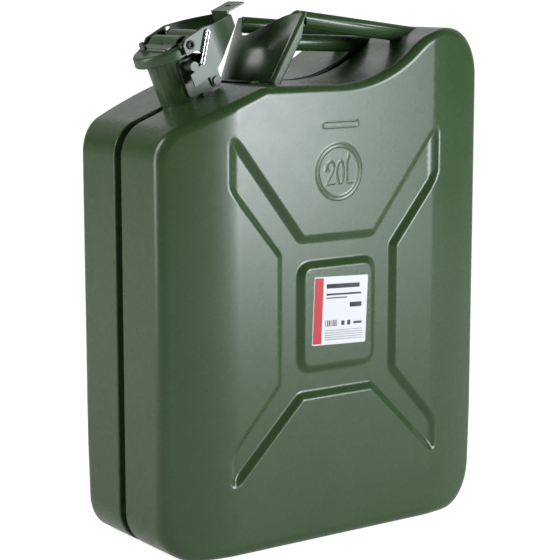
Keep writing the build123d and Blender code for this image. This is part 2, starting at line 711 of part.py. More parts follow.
with BuildPart() as front_bracket:
    with BuildSketch(bracket_plane(-BRACKET_BOW)):
        valley = (BRACKET_VALLEY_Z - TOP_Z) / LEAN_C
        near_top, far_top = BRACKET_RUN, BRACKET_RUN - BRACKET_FAR_DROP / LEAN_C
        inner = BRACKET_PEAK_Y - 2 * BRACKET_PEAK_FALL
        with BuildLine():
            near_side = Line(
                (-BRACKET_FOOT_HALF, -BRACKET_DEPTH), (-BRACKET_TOP_HALF, near_top - BRACKET_PEAK_ROUND)
            )
            near_peak = ThreePointArc(
                near_side @ 1, (-BRACKET_PEAK_Y, near_top), (-inner, near_top - BRACKET_PEAK_FALL)
            )
            dip = Spline(
                near_peak @ 1, (0, valley), (inner, far_top - BRACKET_PEAK_FALL),
                tangents=((1, -0.6), (1, 0.6)),
            )
            far_peak = ThreePointArc(
                dip @ 1, (BRACKET_PEAK_Y, far_top), (BRACKET_TOP_HALF, far_top - BRACKET_PEAK_ROUND)
            )
            Polyline(far_peak @ 1, (BRACKET_FOOT_HALF, -BRACKET_DEPTH), near_side @ 0)
        make_face()
    extrude(amount=BRACKET_BOW + BRACKET_DEPTH)
    add(behind_bow(0, 3 * BRACKET_DEPTH, 2 * BRACKET_RUN), mode=Mode.INTERSECT)
    add(bracket_hollow(), mode=Mode.SUBTRACT)
    side_plane = Plane(
        origin=(BRACKET_FOOT_X, WIDTH / 2, TOP_Z), x_dir=(LEAN_C, 0, -LEAN_S), z_dir=(0, -1, 0)
    )
    with BuildSketch(side_plane):
        with BuildLine():
            Polyline(
                (BRACKET_SHEET, BRACKET_RUN),
                (BRACKET_DEPTH + 1, BRACKET_RUN - BRACKET_TAPER),
                (BRACKET_DEPTH + 1, BRACKET_RUN),
                close=True,
            )
        make_face()
    extrude(amount=WIDTH, mode=Mode.SUBTRACT)
    with BuildSketch(Plane.XY.offset(TOP_Z)):
        with BuildLine():
            toe = ThreePointArc(
                (BRACKET_FOOT_X - FOOT_REACH - FOOT_SETBACK, -FOOT_HALF),
                (BRACKET_FOOT_X - FOOT_REACH - BRACKET_BOW, 0),
                (BRACKET_FOOT_X - FOOT_REACH - FOOT_SETBACK, FOOT_HALF),
            )
            heel = ThreePointArc(
                (BRACKET_FOOT_X + BRACKET_SHEET / 2 - FOOT_SETBACK, FOOT_HALF),
                (BRACKET_FOOT_X + BRACKET_SHEET / 2 - BRACKET_BOW, 0),
                (BRACKET_FOOT_X + BRACKET_SHEET / 2 - FOOT_SETBACK, -FOOT_HALF),
            )
            Line(toe @ 1, heel @ 0)
            Line(heel @ 1, toe @ 0)
        make_face()
    extrude(amount=BRACKET_SHEET)
save(front_bracket, "front_bracket")

HANDLES = (
    ("near_handle", -OUTER_TUBE_Y, OUTER_TUBE_Z, 0.0),
    ("middle_handle", 0.0, MIDDLE_TUBE_Z, 0.0),
    ("far_handle", OUTER_TUBE_Y, OUTER_TUBE_Z, BRACKET_FAR_DROP),
)
for handle_name, handle_y, (front_z, back_z), drop in HANDLES:
    fall = (front_z - drop - back_z) / TUBE_END_X
    start = Vector(-TUBE_END_X / 2, handle_y, back_z + fall * TUBE_END_X * 1.5)
    finish = Vector(TUBE_END_X, handle_y, back_z)
    with BuildPart() as handle:
        with BuildSketch(Plane(origin=start, x_dir=(0, 1, 0), z_dir=finish - start)):
            Circle(TUBE_R)
            Circle(TUBE_R - TUBE_WALL, mode=Mode.SUBTRACT)
        extrude(amount=(finish - start).length)
        add(outer_half, mode=Mode.SUBTRACT)
        add(mirror(outer_half, about=Plane.XZ, mode=Mode.PRIVATE), mode=Mode.SUBTRACT)
        add(seam_weld.part, mode=Mode.SUBTRACT)
        add(behind_bow(BRACKET_SHEET, 2 * LENGTH, 2 * BRACKET_RUN), mode=Mode.INTERSECT)
        add(front_bracket.part, mode=Mode.SUBTRACT)
    save(handle, handle_name)
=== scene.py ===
"""Visual model of a pressed-steel fuel canister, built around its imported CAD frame.

Lengths inside the classes are in millimetres in the can's own frame (+X to the back, +Z up);
meshes are written in metres.
"""

import logging
import math
from dataclasses import dataclass, field
from enum import Enum

import bmesh
import bpy
import numpy as np
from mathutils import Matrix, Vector
from mathutils.geometry import delaunay_2d_cdt


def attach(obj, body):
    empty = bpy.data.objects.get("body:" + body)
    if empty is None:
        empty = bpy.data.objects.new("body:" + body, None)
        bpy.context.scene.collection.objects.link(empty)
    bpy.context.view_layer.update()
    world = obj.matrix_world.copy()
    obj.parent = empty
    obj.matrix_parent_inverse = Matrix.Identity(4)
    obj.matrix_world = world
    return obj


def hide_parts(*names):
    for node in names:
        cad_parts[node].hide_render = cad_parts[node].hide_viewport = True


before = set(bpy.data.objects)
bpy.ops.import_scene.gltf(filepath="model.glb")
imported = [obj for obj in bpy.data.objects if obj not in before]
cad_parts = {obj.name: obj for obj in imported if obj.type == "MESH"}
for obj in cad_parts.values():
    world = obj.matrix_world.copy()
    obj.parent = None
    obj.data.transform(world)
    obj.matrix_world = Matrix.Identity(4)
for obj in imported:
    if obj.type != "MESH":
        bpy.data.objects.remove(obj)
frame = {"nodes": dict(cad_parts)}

LOG = logging.getLogger("canister")
MM = 0.001
Points = np.ndarray


class Side(Enum):
    """Which half of the can, seen from the front end."""

    NEAR = -1
    FAR = 1


class Body(Enum):
    """The rigid bodies of the frame."""

    CAN = "can"
    LID = "lid"
    LEVER = "lever"
    PIN = "locking_pin"


# ---- finishes -----------------------------------------------------------------------------
def node_of(tree: bpy.types.NodeTree, kind: str, **values: object) -> bpy.types.Node:
    """Add a shader node.

    Args:
        tree: the node tree.
        kind: the node's type name.
        values: input values by socket name, with underscores for spaces.

    Returns:
        The new node.
    """
    node = tree.nodes.new(kind)
    for name, value in values.items():
        node.inputs[name.replace("_", " ")].default_value = value
    return node


@dataclass(frozen=True)
class Paint:
    """A sprayed enamel: two close tones, orange peel, and a little dust in the gloss."""

    name: str
    tone: tuple[float, float, float]
    shade: tuple[float, float, float]
    roughness: float
    peel: float = 0.10
    peel_scale: float = 420.0
    specular: float = 0.5
    coat: float = 0.0
    coat_roughness: float = 0.12

    def material(self) -> bpy.types.Material:
        """Build the enamel.

        Returns:
            The material.
        """
        made = bpy.data.materials.new(self.name)
        made.use_nodes = True
        tree = made.node_tree
        shader = tree.nodes["Principled BSDF"]
        where = tree.nodes.new("ShaderNodeTexCoord")
        cloud = node_of(tree, "ShaderNodeTexNoise", Scale=9.0, Detail=4.0, Roughness=0.55)
        tree.links.new(where.outputs["Object"], cloud.inputs["Vector"])
        ramp = tree.nodes.new("ShaderNodeValToRGB")
        ramp.color_ramp.elements[0].position = 0.35
        ramp.color_ramp.elements[1].position = 0.68
        ramp.color_ramp.elements[0].color = (*self.shade, 1)
        ramp.color_ramp.elements[1].color = (*self.tone, 1)
        tree.links.new(cloud.outputs["Fac"], ramp.inputs["Fac"])
        tree.links.new(ramp.outputs["Color"], shader.inputs["Base Color"])
        haze = node_of(tree, "ShaderNodeTexNoise", Scale=60.0, Detail=3.0)
        tree.links.new(where.outputs["Object"], haze.inputs["Vector"])
        spread = node_of(tree, "ShaderNodeMapRange")
        spread.inputs["To Min"].default_value = self.roughness - 0.03
        spread.inputs["To Max"].default_value = self.roughness + 0.04
        tree.links.new(haze.outputs["Fac"], spread.inputs["Value"])
        tree.links.new(spread.outputs["Result"], shader.inputs["Roughness"])
        peel = node_of(tree, "ShaderNodeTexNoise", Scale=self.peel_scale, Detail=1.5)
        tree.links.new(where.outputs["Object"], peel.inputs["Vector"])
        bump = node_of(tree, "ShaderNodeBump", Strength=self.peel, Distance=0.0002)
        tree.links.new(peel.outputs["Fac"], bump.inputs["Height"])
        tree.links.new(bump.outputs["Normal"], shader.inputs["Normal"])
        shader.inputs["Specular IOR Level"].default_value = self.specular
        shader.inputs["Coat Weight"].default_value = self.coat
        shader.inputs["Coat Roughness"].default_value = self.coat_roughness
        return made


@dataclass(frozen=True)
class Metal:
    """Bare or plated steel with fine scratches."""

    name: str
    colour: tuple[float, float, float]
    roughness: float
    scratch: float = 0.15
    scratch_scale: float = 900.0

    def material(self) -> bpy.types.Material:
        """Build the metal.

        Returns:
            The material.
        """
        made = bpy.data.materials.new(self.name)
        made.use_nodes = True
        tree = made.node_tree
        shader = tree.nodes["Principled BSDF"]
        shader.inputs["Metallic"].default_value = 1.0
        where = tree.nodes.new("ShaderNodeTexCoord")
        grain = node_of(tree, "ShaderNodeTexNoise", Scale=self.scratch_scale, Detail=3.0)
        tree.links.new(where.outputs["Object"], grain.inputs["Vector"])
        tint = tree.nodes.new("ShaderNodeValToRGB")
        tint.color_ramp.elements[0].color = (*[c * 0.82 for c in self.colour], 1)
        tint.color_ramp.elements[1].color = (*self.colour, 1)
        tree.links.new(grain.outputs["Fac"], tint.inputs["Fac"])
        tree.links.new(tint.outputs["Color"], shader.inputs["Base Color"])
        spread = node_of(tree, "ShaderNodeMapRange")
        spread.inputs["To Min"].default_value = self.roughness * 0.8
        spread.inputs["To Max"].default_value = self.roughness * 1.2
        tree.links.new(grain.outputs["Fac"], spread.inputs["Value"])
        tree.links.new(spread.outputs["Result"], shader.inputs["Roughness"])
        bump = node_of(tree, "ShaderNodeBump", Strength=self.scratch, Distance=0.0001)
        tree.links.new(grain.outputs["Fac"], bump.inputs["Height"])
        tree.links.new(bump.outputs["Normal"], shader.inputs["Normal"])
        return made


@dataclass(frozen=True)
class Rubber:
    """Dull black seal rubber with a fine grain."""

    name: str = "seal_rubber"
    colour: tuple[float, float, float] = (0.022, 0.022, 0.021)

    def material(self) -> bpy.types.Material:
        """Build the rubber.

        Returns:
            The material.
        """
        made = bpy.data.materials.new(self.name)
        made.use_nodes = True
        tree = made.node_tree
        shader = tree.nodes["Principled BSDF"]
        where = tree.nodes.new("ShaderNodeTexCoord")
        grain = node_of(tree, "ShaderNodeTexNoise", Scale=1400.0, Detail=2.0)
        tree.links.new(where.outputs["Object"], grain.inputs["Vector"])
        tint = tree.nodes.new("ShaderNodeValToRGB")
        tint.color_ramp.elements[0].color = (*[c * 0.7 for c in self.colour], 1)
        tint.color_ramp.elements[1].color = (*[c * 1.3 for c in self.colour], 1)
        tree.links.new(grain.outputs["Fac"], tint.inputs["Fac"])
        tree.links.new(tint.outputs["Color"], shader.inputs["Base Color"])
        bump = node_of(tree, "ShaderNodeBump", Strength=0.3, Distance=0.0001)
        tree.links.new(grain.outputs["Fac"], bump.inputs["Height"])
        tree.links.new(bump.outputs["Normal"], shader.inputs["Normal"])
        shader.inputs["Roughness"].default_value = 0.75
        return made


@dataclass(frozen=True)
class Print:
    """Coated paper or ink on it, very slightly mottled."""

    name: str
    colour: tuple[float, float, float]
    roughness: float = 0.42

    def material(self) -> bpy.types.Material:
        """Build the paper or ink.

        Returns:
            The material.
        """
        made = bpy.data.materials.new(self.name)
        made.use_nodes = True
        tree = made.node_tree
        shader = tree.nodes["Principled BSDF"]
        where = tree.nodes.new("ShaderNodeTexCoord")
        fibre = node_of(tree, "ShaderNodeTexNoise", Scale=800.0, Detail=2.0)
        tree.links.new(where.outputs["Object"], fibre.inputs["Vector"])
        tint = tree.nodes.new("ShaderNodeValToRGB")
        tint.color_ramp.elements[0].color = (*[c * 0.94 for c in self.colour], 1)
        tint.color_ramp.elements[1].color = (*self.colour, 1)
        tree.links.new(fibre.outputs["Fac"], tint.inputs["Fac"])
        tree.links.new(tint.outputs["Color"], shader.inputs["Base Color"])
        shader.inputs["Roughness"].default_value = self.roughness
        shader.inputs["Specular IOR Level"].default_value = 0.35
        return made


@dataclass(frozen=True)
class Finishes:
    """Every finish of the can, built once."""

    body: bpy.types.Material
    fitting: bpy.types.Material
    steel: bpy.types.Material
    wire: bpy.types.Material
    rubber: bpy.types.Material
    paper: bpy.types.Material
    red: bpy.types.Material
    ink: bpy.types.Material
    grey_ink: bpy.types.Material

    @classmethod
    def build(cls) -> "Finishes":
        """Build all the finishes.

        Returns:
            The finishes.
        """
        return cls(
            body=Paint("olive_enamel", (0.041, 0.084, 0.027), (0.036, 0.076, 0.024), 0.27).material(),
            fitting=Paint(
                "olive_fitting_enamel", (0.043, 0.08, 0.034), (0.033, 0.066, 0.026), 0.36
            ).material(),
            steel=Metal("dark_steel", (0.045, 0.05, 0.048), 0.42).material(),
            wire=Metal("bright_wire", (0.86, 0.85, 0.88), 0.24, scratch=0.0).material(),
            rubber=Rubber().material(),
            paper=Print("label_paper", (0.80, 0.80, 0.80)).material(),
            red=Print("label_red", (0.55, 0.022, 0.022)).material(),
            ink=Print("label_ink", (0.09, 0.09, 0.095)).material(),
            grey_ink=Print("label_grey", (0.42, 0.42, 0.43)).material(),
        )


# ---- mesh helpers -------------------------------------------------------------------------
def new_piece(name: str, verts: Points, faces: list, normals: Points | None = None) -> bpy.types.Object:
    """Make a smooth-shaded piece.

    Args:
        name: the piece's name.
        verts: corner positions in millimetres.
        faces: corner indices of each face.
        normals: a normal for every corner, where the surface is known exactly.

    Returns:
        The new object.
    """
    mesh = bpy.data.meshes.new(name)
    mesh.from_pydata((np.asarray(verts, float) * MM).tolist(), [], faces)
    mesh.update()
    mesh.shade_smooth()
    if normals is not None:
        mesh.normals_split_custom_set_from_vertices([tuple(n) for n in normals])
    piece = bpy.data.objects.new(name, mesh)
    bpy.context.scene.collection.objects.link(piece)
    return piece


def dress(piece: bpy.types.Object, finish: bpy.types.Material) -> bpy.types.Object:
    """Give the whole piece one finish."""
    piece.data.materials.clear()
    piece.data.materials.append(finish)
    return piece


def install(piece: bpy.types.Object, body: Body, slot: str, *nodes: str) -> bpy.types.Object:
    """Fix a finished piece to its body.

    Args:
        piece: the piece.
        body: the body it moves with.
        slot: the record's material slot; not used.
        nodes: the CAD nodes that it stands for.

    Returns:
        The piece.
    """
    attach(piece, body.value)
    if nodes:
        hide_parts(*nodes)
    LOG.info("%s on %s, %d faces", piece.name, body.value, len(piece.data.polygons))
    return piece


def smooth_ramp(value: Points, width: float, blend: float = 0.22) -> Points:
    """A ramp from 0 to 1 across a wall, with rounded top and bottom edges.

    Args:
        value: signed distance, rising across the wall, zero at its middle.
        width: the wall's width.
        blend: the rounding, as a part of the width.

    Returns:
        The ramp's height.
    """
    u = value / width + 0.5
    low = np.clip(u + blend, 0, 2 * blend) ** 2 / (4 * blend)
    high = np.clip(u - 1 + blend, 0, 2 * blend) ** 2 / (4 * blend)
    return low + np.clip(u - blend, 0, None) - high - np.clip(u - 1 - blend, 0, None)


def segment_distance(p: Points, a: Points, b: Points) -> Points:
    """Distance from each point to the segment from a to b."""
    along = b - a
    t = np.clip(((p - a) @ along) / (along @ along), 0, 1)
    return np.linalg.norm(p - a - t[:, None] * along, axis=1)


def polyline_distance(p: Points, line: Points, closed: bool = False) -> Points:
    """Distance from each point to a polyline.

    Args:
        p: the points.
        line: the polyline's corners.
        closed: whether its end joins its start.

    Returns:
        The distances.
    """
    ends = np.roll(line, -1, axis=0) if closed else line[1:]
    starts = line if closed else line[:-1]
    best = np.full(len(p), 1e9)
    for a, b in zip(starts, ends):
        best = np.minimum(best, segment_distance(p, a, b))
    return best


def inside(p: Points, loop: Points) -> Points:
    """Whether each point is inside a closed loop, by counting crossings."""
    hits = np.zeros(len(p), int)
    for a, b in zip(loop, np.roll(loop, -1, axis=0)):
        spans = (a[1] > p[:, 1]) != (b[1] > p[:, 1])
        rise = b[1] - a[1] if b[1] != a[1] else 1e-9
        hits += spans & (p[:, 0] < (b[0] - a[0]) * (p[:, 1] - a[1]) / rise + a[0])
    return hits % 2 == 1


def signed_distance(p: Points, loop: Points) -> Points:
    """Distance to a closed loop, negative inside."""
    return polyline_distance(p, loop, closed=True) * np.where(inside(p, loop), -1, 1)


def round_corners(corners: list, radius: float, steps: int = 5) -> Points:
    """Replace each corner of a closed loop with an arc.

    Args:
        corners: the loop's corners.
        radius: the arcs' radius.
        steps: the number of points on each arc, less one.

    Returns:
        The rounded loop.
    """
    corners = np.asarray(corners, float)
    out = []
    for before, here, after in zip(np.roll(corners, 1, 0), corners, np.roll(corners, -1, 0)):
        u, v = before - here, after - here
        u, v = u / np.linalg.norm(u), v / np.linalg.norm(v)
        half = math.acos(np.clip(u @ v, -1, 1)) / 2
        reach = radius / math.tan(half)
        for k in range(steps + 1):
            f = k / steps
            out.append(here + u * reach * (1 - f) ** 2 + v * reach * f**2)
    return np.array(out)


def offset_rows(line: Points, spacing: float, offsets: Points, closed: bool) -> list:
    """Points along a line, repeated beside it at each offset.

    Args:
        line: the line's corners.
        spacing: distance between points along it.
        offsets: signed distances to the side.
        closed: whether the last corner joins the first.

    Returns:
        One array of points for each offset.
    """
    corners = np.vstack([line, line[:1]]) if closed else line
    legs = np.linalg.norm(np.diff(corners, axis=0), axis=1)
    walked = np.concatenate([[0.0], np.cumsum(legs)])
    count = max(3, int(round(walked[-1] / spacing)))
    at = np.linspace(0, walked[-1], count, endpoint=not closed)

    def along(distance: Points) -> Points:
        """Where the line is after each distance."""
        return np.stack([np.interp(distance, walked, corners[:, k]) for k in (0, 1)], axis=1)

    step = spacing / 2
    if closed:
        heading = along((at + step) % walked[-1]) - along((at - step) % walked[-1])
    else:
        heading = along(np.clip(at + step, 0, walked[-1])) - along(np.clip(at - step, 0, walked[-1]))
    heading /= np.maximum(np.linalg.norm(heading, axis=1), 1e-9)[:, None]
    side = np.stack([heading[:, 1], -heading[:, 0]], axis=1)
    return [along(at) + side * offset for offset in offsets]


# ---- body ---------------------------------------------------------------------------------
@dataclass
class Emboss:
    """The pressed figures of the broad face: crossed channel, pad, capacity ring and bar."""

    channel_depth: float = 4.5
    wall: float = 6.0
    top_z: float = 271.0
    bottom_z: float = 134.0
    half: float = 61.5
    end_x: float = 113.0
    plateau_half: float = 39.0
    upper_arm: tuple[float, float] = (366.5, 321.5)
    lower_arm: tuple[float, float] = (89.5, 60.5)
    shoulders: tuple[float, float] = (259.0, 147.0)
    corner_r: float = 6.0
    end_softness: float = 9.0
    pad_half: tuple[float, float] = (39.5, 46.0)
    pad_z: float = 202.5
    pad_r: float = 12.0
    ring_at: tuple[float, float] = (-1.0, 327.8)
    ring_r: float = 24.5
    ring_gap: float = 3.0
    mark_rise: float = 0.3
    mark_width: float = 1.3
    bar: tuple[float, float, float, float] = (-18.5, 20.0, 366.0, 371.0)
    glyph_height: float = 19.0
    loops: dict = field(default_factory=dict)

    def __post_init__(self) -> None:
        """Work out the loops once."""
        right = [
            (self.plateau_half, self.top_z),
            (self.end_x, self.upper_arm[0]),
            (self.end_x, self.upper_arm[1]),
            (self.half, self.shoulders[0]),
            (self.half, self.shoulders[1]),
            (self.end_x, self.lower_arm[0]),
            (self.end_x, self.lower_arm[1]),
            (self.plateau_half, self.bottom_z),
        ]
        left = [(-x, z) for x, z in reversed(right)]
        self.loops["channel"] = round_corners(right + left, self.corner_r, 12)
        px, pz = self.pad_half
        box = [(-px, self.pad_z - pz), (px, self.pad_z - pz), (px, self.pad_z + pz), (-px, self.pad_z + pz)]
        self.loops["pad"] = round_corners(box, self.pad_r, 16)
        x0, x1, z0, z1 = self.bar
        self.loops["bar"] = round_corners([(x0, z0), (x1, z0), (x1, z1), (x0, z1)], 2.2, 6)
        self.loops["glyphs"] = self.glyphs()

    def glyphs(self) -> list:
        """The strokes of the capacity mark.

        Returns:
            One polyline for each stroke.
        """
        tall = self.glyph_height
        low = self.ring_at[1] - tall / 2 - 0.6
        turn = np.radians(np.linspace(165, -35, 14))
        two = [(-9.6 + 3.7 * math.cos(a), low + tall - 4.4 + 4.4 * math.sin(a)) for a in turn]
        two += [(-13.2, low), (-5.4, low)]
        loop = np.radians(np.linspace(0, 360, 33))
        zero = [(0.8 + 3.6 * math.cos(a), low + tall / 2 + tall / 2 * math.sin(a)) for a in loop]
        ell = [(8.0, low + tall), (8.0, low), (14.0, low)]
        return [np.array(two), np.array(zero), np.array(ell)]

    def channel_distance(self, p: Points) -> Points:
        """Signed distance to the channel's middle wall line, negative in the channel."""
        outer = signed_distance(p, self.loops["channel"])
        return np.maximum(outer, -signed_distance(p, self.loops["pad"]))

    def mark_distance(self, p: Points) -> Points:
        """Distance to the nearest thin raised line."""
        from_centre = np.linalg.norm(p - np.array(self.ring_at), axis=1)
        ring = np.abs(from_centre - self.ring_r)
        inner = np.abs(from_centre - self.ring_r + self.ring_gap)
        best = np.minimum(ring, inner)
        best = np.minimum(best, polyline_distance(p, self.loops["bar"], closed=True))
        for stroke in self.loops["glyphs"]:
            best = np.minimum(best, polyline_distance(p, stroke))
        return best

    def depth(self, p: Points, marks: bool) -> Points:
        """How far the face is pressed in at each point.

        Args:
            p: points of the face, (x, z).
            marks: whether the thin raised lines count.

        Returns:
            The depth, positive into the can.
        """
        distance = self.channel_distance(p)
        end = smooth_ramp(self.end_x - 3.0 - np.abs(p[:, 0]), self.end_softness, 0.3)
        depth = self.channel_depth * smooth_ramp(-distance, self.wall) * end
        if marks:
            rise = smooth_ramp(self.mark_width / 2 - self.mark_distance(p), self.mark_width * 0.8, 0.4)
            depth = depth - self.mark_rise * rise
        return depth


@dataclass
class CanBody:
    """The two half shells and the seam between them."""

    length: float = 345.0
    width: float = 165.0
    top_z: float = 402.5
    panel_half: float = 104.75
    edge_drop: float = 18.3
    crease_slope: float = 0.0875
    bottom_front_r: float = 35.0
    bottom_back_r: float = 42.0
    shoulder_r: float = 32.0
    shoulder_tilt: float = 21.5
    crest_x: float = -76.5
    crest_r: float = 14.0
    hollow_r: float = 125.0
    hollow_start: float = 5.0
    hollow_angle: float = 41.0
    hump_r: float = 62.0
    rim_r: float = 8.0
    bottom_rim_r: float = 12.0
    groove_half: float = 5.0
    groove_depth: float = 7.0
    lip_r: float = 1.8
    bead_half: float = 2.2
    bead_rise: float = 1.35
    bead_step: float = 0.9
    bead_pitch: float = 3.6
    neck_at: tuple[float, float] = (-107.5, 389.7)
    neck_clear: float = 26.5
    emboss: Emboss = field(default_factory=Emboss)

    def outline(self) -> tuple[Points, Points]:
        """Walk round the side outline.

        Returns:
            The points (x, z) and the outward normals.
        """
        turn = math.radians(self.hollow_angle)
        tilt = math.radians(self.shoulder_tilt)
        rise = (self.hollow_r + self.hump_r) * (1 - math.cos(turn))
        hump_x = self.hollow_start + (self.hollow_r + self.hump_r) * math.sin(turn)
        hump_z = self.top_z + rise
        back_r = self.length / 2 - hump_x
        crest_reach = self.crest_r * math.tan(tilt / 2)
        end_z = self.top_z + (-self.length / 2 - self.crest_x) * math.tan(tilt)
        slope = (self.crest_x + self.length / 2) / math.cos(tilt)
        shoulder_reach = self.shoulder_r * math.tan((math.pi / 2 - tilt) / 2)
        legs = [
            ("line", self.length - self.bottom_front_r - self.bottom_back_r, 6.0),
            ("arc", self.bottom_back_r, 90.0),
            ("line", hump_z - back_r - self.bottom_back_r, 6.0),
            ("arc", back_r, 90.0),
            ("arc", self.hump_r, self.hollow_angle),
            ("arc", -self.hollow_r, self.hollow_angle),
            ("line", self.hollow_start - self.crest_x - crest_reach, 3.0),
            ("arc", self.crest_r, self.shoulder_tilt),
            ("line", slope - crest_reach - shoulder_reach, 1.6),
            ("arc", self.shoulder_r, 90.0 - self.shoulder_tilt),
            ("line", end_z - shoulder_reach - self.bottom_front_r, 6.0),
            ("arc", self.bottom_front_r, 90.0),
        ]
        here, heading = np.array([-self.length / 2 + self.bottom_front_r, 0.0]), 0.0
        points, normals = [], []
        for kind, size, detail in legs:
            if kind == "line":
                count = max(2, int(size / detail))
                ahead = np.array([math.cos(heading), math.sin(heading)])
                for k in range(count):
                    points.append(here + ahead * size * k / count)
                    normals.append((ahead[1], -ahead[0]))
                here = here + ahead * size
                continue
            bend = math.radians(detail) * (1 if size > 0 else -1)
            side = np.array([-math.sin(heading), math.cos(heading)])
            centre = here + side * size
            count = max(6, int(abs(size * bend) / 2.6))
            for k in range(count):
                a = heading + bend * k / count
                normal = np.array([math.sin(a), -math.cos(a)])
                points.append(centre + normal * size)
                normals.append(normal)
            heading += bend
            here = centre + np.array([math.sin(heading), -math.cos(heading)]) * size
        return np.array(points), np.array(normals)

    def half_width(self, x: Points) -> Points:
        """Half the can's thickness at x: flat, then a crease and a fall to the narrow faces."""
        run = self.length / 2 - self.panel_half
        past = np.clip(np.abs(x) - self.panel_half, 0, None)
        bow = (self.edge_drop - self.crease_slope * run) / run**2
        soft = past * past / (past + 1.2)
        return self.width / 2 - self.crease_slope * soft - bow * past**2

    def face_height(self, p: Points, marks: bool = True) -> Points:
        """Distance of the broad face from the seam plane at (x, z)."""
        return self.half_width(p[:, 0]) - self.emboss.depth(p, marks)

    def face_normals(self, p: Points) -> Points:
        """Outward normals of the broad face, from its slopes.

        Args:
            p: points of the face, (x, z).

        Returns:
            Unit normals for the far side, (x, y, z).
        """
        step = 0.12
        dx, dz = np.array([step, 0]), np.array([0, step])
        slope_x = (self.face_height(p + dx) - self.face_height(p - dx)) / (2 * step)
        slope_z = (self.face_height(p + dz) - self.face_height(p - dz)) / (2 * step)
        normals = np.stack([-slope_x, np.ones(len(p)), -slope_z], axis=1)
        return normals / np.linalg.norm(normals, axis=1)[:, None]

    def wall_stations(self) -> list:
        """The section from the groove's floor out to the rim.

        Returns:
            (inset, y) pairs up to the flat wall, y from the seam plane.
        """
        floor, lip, half = self.groove_depth, self.lip_r, self.groove_half
        out = [(floor, 0.0), (floor, half - 1.6)]
        for k in range(1, 5):
            a = math.radians(22.5 * k)
            out.append((floor - 1.6 * (1 - math.cos(a)), half - 1.6 + 1.6 * math.sin(a)))
        for k in range(0, 7):
            a = math.radians(15 * k)
            out.append((lip * (1 - math.sin(a)), half + lip * (1 - math.cos(a))))
        return out

    def rim(self, z: Points) -> Points:
        """The rim's radius, larger round the bottom."""
        low = smooth_ramp(60.0 - z, 60.0, 0.3)
        return self.rim_r + (self.bottom_rim_r - self.rim_r) * np.clip(low, 0, 1)

    def wall_grid(self, points: Points, outward: Points) -> Points:
        """The narrow wall, from the groove round the rim to the broad face.

        Args:
            points: the outline.
            outward: its outward normals.

        Returns:
            Positions (station, point, xyz) for the far side.
        """
        rows = []
        for inset, y in self.wall_stations():
            at = points - outward * inset
            rows.append(np.stack([at[:, 0], np.full(len(at), y), at[:, 1]], axis=1))
        radius = self.rim(points[:, 1])
        start = self.groove_half + self.lip_r
        edge = self.half_width(points[:, 0]) - radius
        for k in range(1, 16):
            f = k / 16
            y = start + (edge - start) * f
            rows.append(np.stack([points[:, 0], y, points[:, 1]], axis=1))
        for k in range(0, 11):
            a = math.radians(9 * k)
            at = points - outward * (radius * (1 - math.cos(a)))[:, None]
            y = self.half_width(at[:, 0]) - radius * (1 - math.sin(a))
            rows.append(np.stack([at[:, 0], y, at[:, 1]], axis=1))
        return np.array(rows)

    def face_points(self, border: Points) -> Points:
        """Scatter the broad face's inner points: close where the press work is, wide elsewhere.

        Args:
            border: the loop where the face meets the rim.

        Returns:
            Points (x, z).
        """
        low, high = border.min(0), border.max(0)

        def lattice(step: float) -> Points:
            """A square lattice over the face."""
            xs = np.arange(low[0] + step / 2, high[0], step)
            zs = np.arange(low[1] + step / 2, high[1], step)
            return np.stack(np.meshgrid(xs, zs), axis=-1).reshape(-1, 2)

        wide = lattice(6.0)
        off_walls = np.abs(self.emboss.channel_distance(wide)) > 6.2
        rows = [wide[off_walls & (self.emboss.mark_distance(wide) > 3.2)]]
        for name in ("channel", "pad"):
            rows += offset_rows(self.emboss.loops[name], 2.0, np.linspace(-4.5, 4.5, 16), closed=True)
        fine = np.linspace(-1.65, 1.65, 11)
        for radius in (self.emboss.ring_r, self.emboss.ring_r - self.emboss.ring_gap):
            a = np.linspace(0, 2 * math.pi, 97)[:-1]
            ring = np.array(self.emboss.ring_at) + radius * np.stack([np.cos(a), np.sin(a)], axis=1)
            rows += offset_rows(ring, 1.2, fine, closed=True)
        rows += offset_rows(self.emboss.loops["bar"], 1.0, fine, closed=True)
        for stroke in self.emboss.loops["glyphs"]:
            rows += offset_rows(stroke, 0.9, fine, closed=False)
        ends = lattice(3.0)
        in_end = np.abs(np.abs(ends[:, 0]) - self.emboss.end_x + 3) < 9
        in_end &= np.abs(self.emboss.channel_distance(ends)) > 5.4
        every = np.vstack(rows + [ends[in_end]])
        clear = signed_distance(every, border) < -1.2
        return every[clear]

